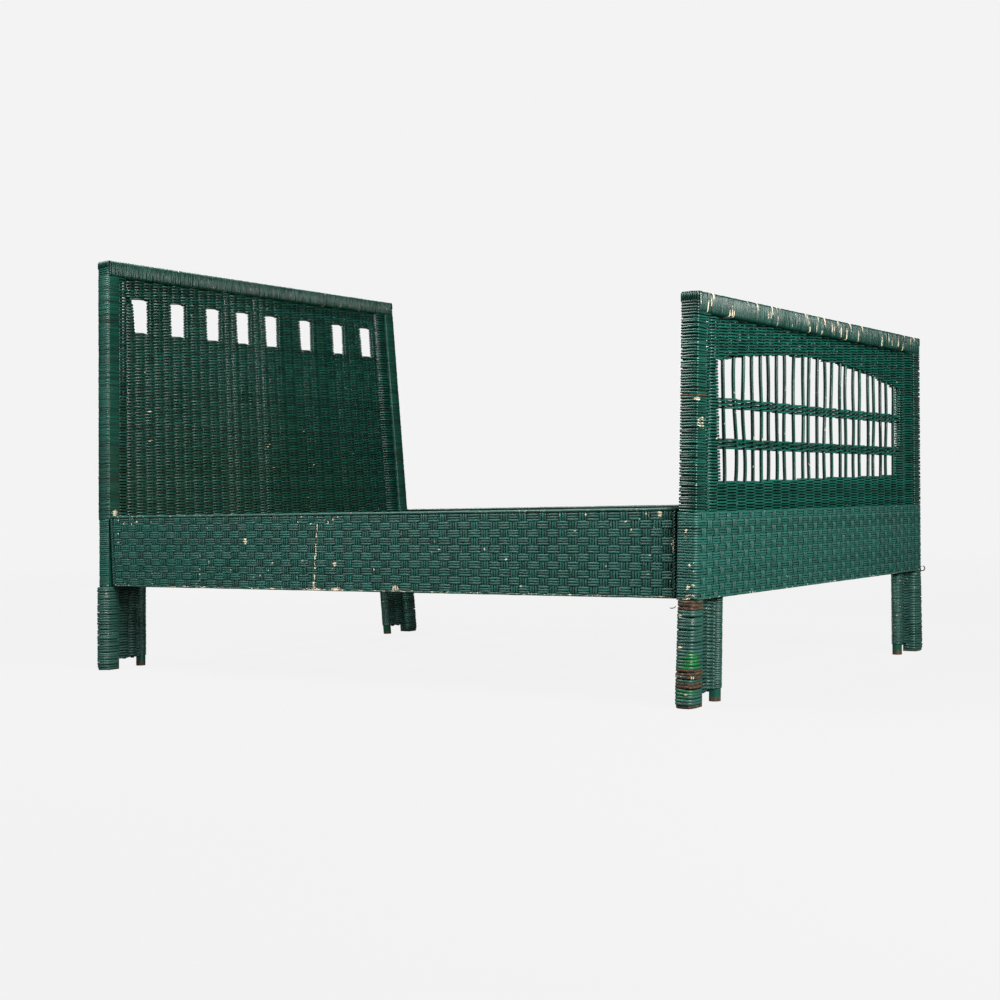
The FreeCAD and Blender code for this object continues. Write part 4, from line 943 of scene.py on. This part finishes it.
for boardName in boards:
    for sideName in sides:
        dress(f"{boardName}_post_{sideName}", paintedBeech)
        dress(f"{boardName}_inner_leg_{sideName}", paintedBeech)
    for part in ("top_rail", "bottom_rail", "apron_board"):
        dress(f"{boardName}_{part}", boardBeech)
    for part in ("post_plates", "rail_hooks", "plate_screws"):
        dress(f"{boardName}_{part}", strapSteel)
dress("head_stakes", paintedBeech)
dress("ledger_screws", strapSteel)
for sideName in sides:
    dress(f"rail_board_{sideName}", railBeech)
    dress(f"ledger_{sideName}", ledgerPine)
for i in range(1, 9):
    dress(f"slat_{i}", planedPine)
print("timber and steel dressed")


# floor, light and camera

studio = {"backdrop": 0.896, "ambient": 0.045, "paper": 0.866, "shadow": "#202020", "bounce": "#5a5a5a",
          "floor": 40, "drop": 0.0005}
white = (1, 1, 1, 1)
floorMesh = bpy.data.meshes.new("studio_floor")
corners = [(x * studio["floor"], y * studio["floor"], 0) for x, y in ((-1, -1), (1, -1), (1, 1), (-1, 1))]
floorMesh.from_pydata(corners, [], [(0, 1, 2, 3)])
floor = addObject("studio_floor", floorMesh)
floor.location.z = -studio["drop"]
# matt background paper, lit from behind: even and pale, with faint soft shadows and little light thrown back
floorPaper, tree = newMaterial("paper_sweep_matt")
spot = addNode(tree, "TexCoord")
tooth = addNode(tree, "TexNoise", values={"Scale": 1 / 0.004, "Detail": 2.0},
                links={"Vector": spot.outputs["Object"]})
bump = addNode(tree, "Bump", values={"Strength": 0.05, "Distance": 0.0002},
               links={"Height": tooth.outputs["Fac"]})
rays = addNode(tree, "LightPath")
away = addNode(tree, "VectorMath", {"operation": "LENGTH"}, links={0: spot.outputs["Object"]})
even = addNode(tree, "MapRange", values={"From Min": 2.5, "From Max": 9.0, "To Min": studio["paper"],
                                         "To Max": studio["backdrop"]},
               links={"Value": away.outputs["Value"]})
paper = addNode(tree, "BsdfPrincipled", values={"Base Color": linear(studio["shadow"]), "Roughness": 0.95,
                                                "Specular IOR Level": 0, "Emission Color": white},
                links={"Normal": bump.outputs["Normal"], "Emission Strength": even.outputs[0]})
thrown = addNode(tree, "BsdfDiffuse", values={"Color": linear(studio["bounce"])})
either = addNode(tree, "MixShader",
                 links={0: rays.outputs["Is Camera Ray"], 1: thrown.outputs[0], 2: paper.outputs[0]})
addNode(tree, "OutputMaterial", links={"Surface": either.outputs[0]})
floorMesh.materials.append(floorPaper)

world = bpy.data.worlds.new("studio")
bpy.context.scene.world = world
world.use_nodes = True
tree = world.node_tree
tree.nodes.clear()
rays = addNode(tree, "LightPath")
seen = addNode(tree, "Background", values={"Color": white, "Strength": studio["backdrop"]})
lit = addNode(tree, "Background", values={"Color": white, "Strength": studio["ambient"]})
choice = addNode(tree, "MixShader",
                 links={0: rays.outputs["Is Camera Ray"], 1: lit.outputs[0], 2: seen.outputs[0]})
addNode(tree, "OutputWorld", links={"Surface": choice.outputs[0]})

lamps = {
    "overhead_softbox": {"at": (-0.8, -1.6, 3.1), "aim": (0.0, -0.6, 0.4), "size": (1.8, 3.0), "watts": 200},
    "side_softbox": {"at": (3.4, -1.4, 1.75), "aim": (0.7, -0.1, 0.6), "size": (1.7, 1.4), "watts": 175},
    "back_softbox": {"at": (-3.4, 3.6, 2.3), "aim": (0.0, 0.3, 0.5), "size": (2.6, 2.0), "watts": 180},
    "right_card": {"at": (2.6, 3.4, 1.2), "aim": (0.9, 0.0, 0.6), "size": (2.2, 2.0), "watts": 3.9},
    "left_card": {"at": (-3.0, -3.6, 1.3), "aim": (-0.2, -0.7, 0.4), "size": (2.4, 2.4), "watts": 13},
}
for lampName, lamp in lamps.items():
    data = bpy.data.lights.new(lampName, "AREA")
    data.shape = "RECTANGLE"
    data.size, data.size_y = lamp["size"]
    data.energy = lamp["watts"]
    holder = addObject(lampName, data)
    holder.visible_camera = False
    z = unit(np.array(lamp["at"]) - np.array(lamp["aim"]))
    x = unit(np.cross((0, 0, 1), z))
    columns = (x, np.cross(z, x), z, lamp["at"])
    holder.matrix_world = Matrix([[column[i] for column in columns] for i in range(3)] + [[0, 0, 0, 1]])

viewer = {"at": (2.6724, -3.9564, 0.4806), "turn": (90.068, 1.073, 34.380), "lens": 56.5, "sensor": 36}
lens = bpy.data.cameras.new("viewer")
lens.lens, lens.sensor_width = viewer["lens"], viewer["sensor"]
camera = addObject("viewer", lens)
turned = Euler([math.radians(angle) for angle in viewer["turn"]])  # tilt, roll and pan
camera.matrix_world = Matrix.Translation(viewer["at"]) @ turned.to_matrix().to_4x4()
bpy.context.scene.camera = camera
bpy.context.scene.view_settings.view_transform = "Standard"
print("studio ready")
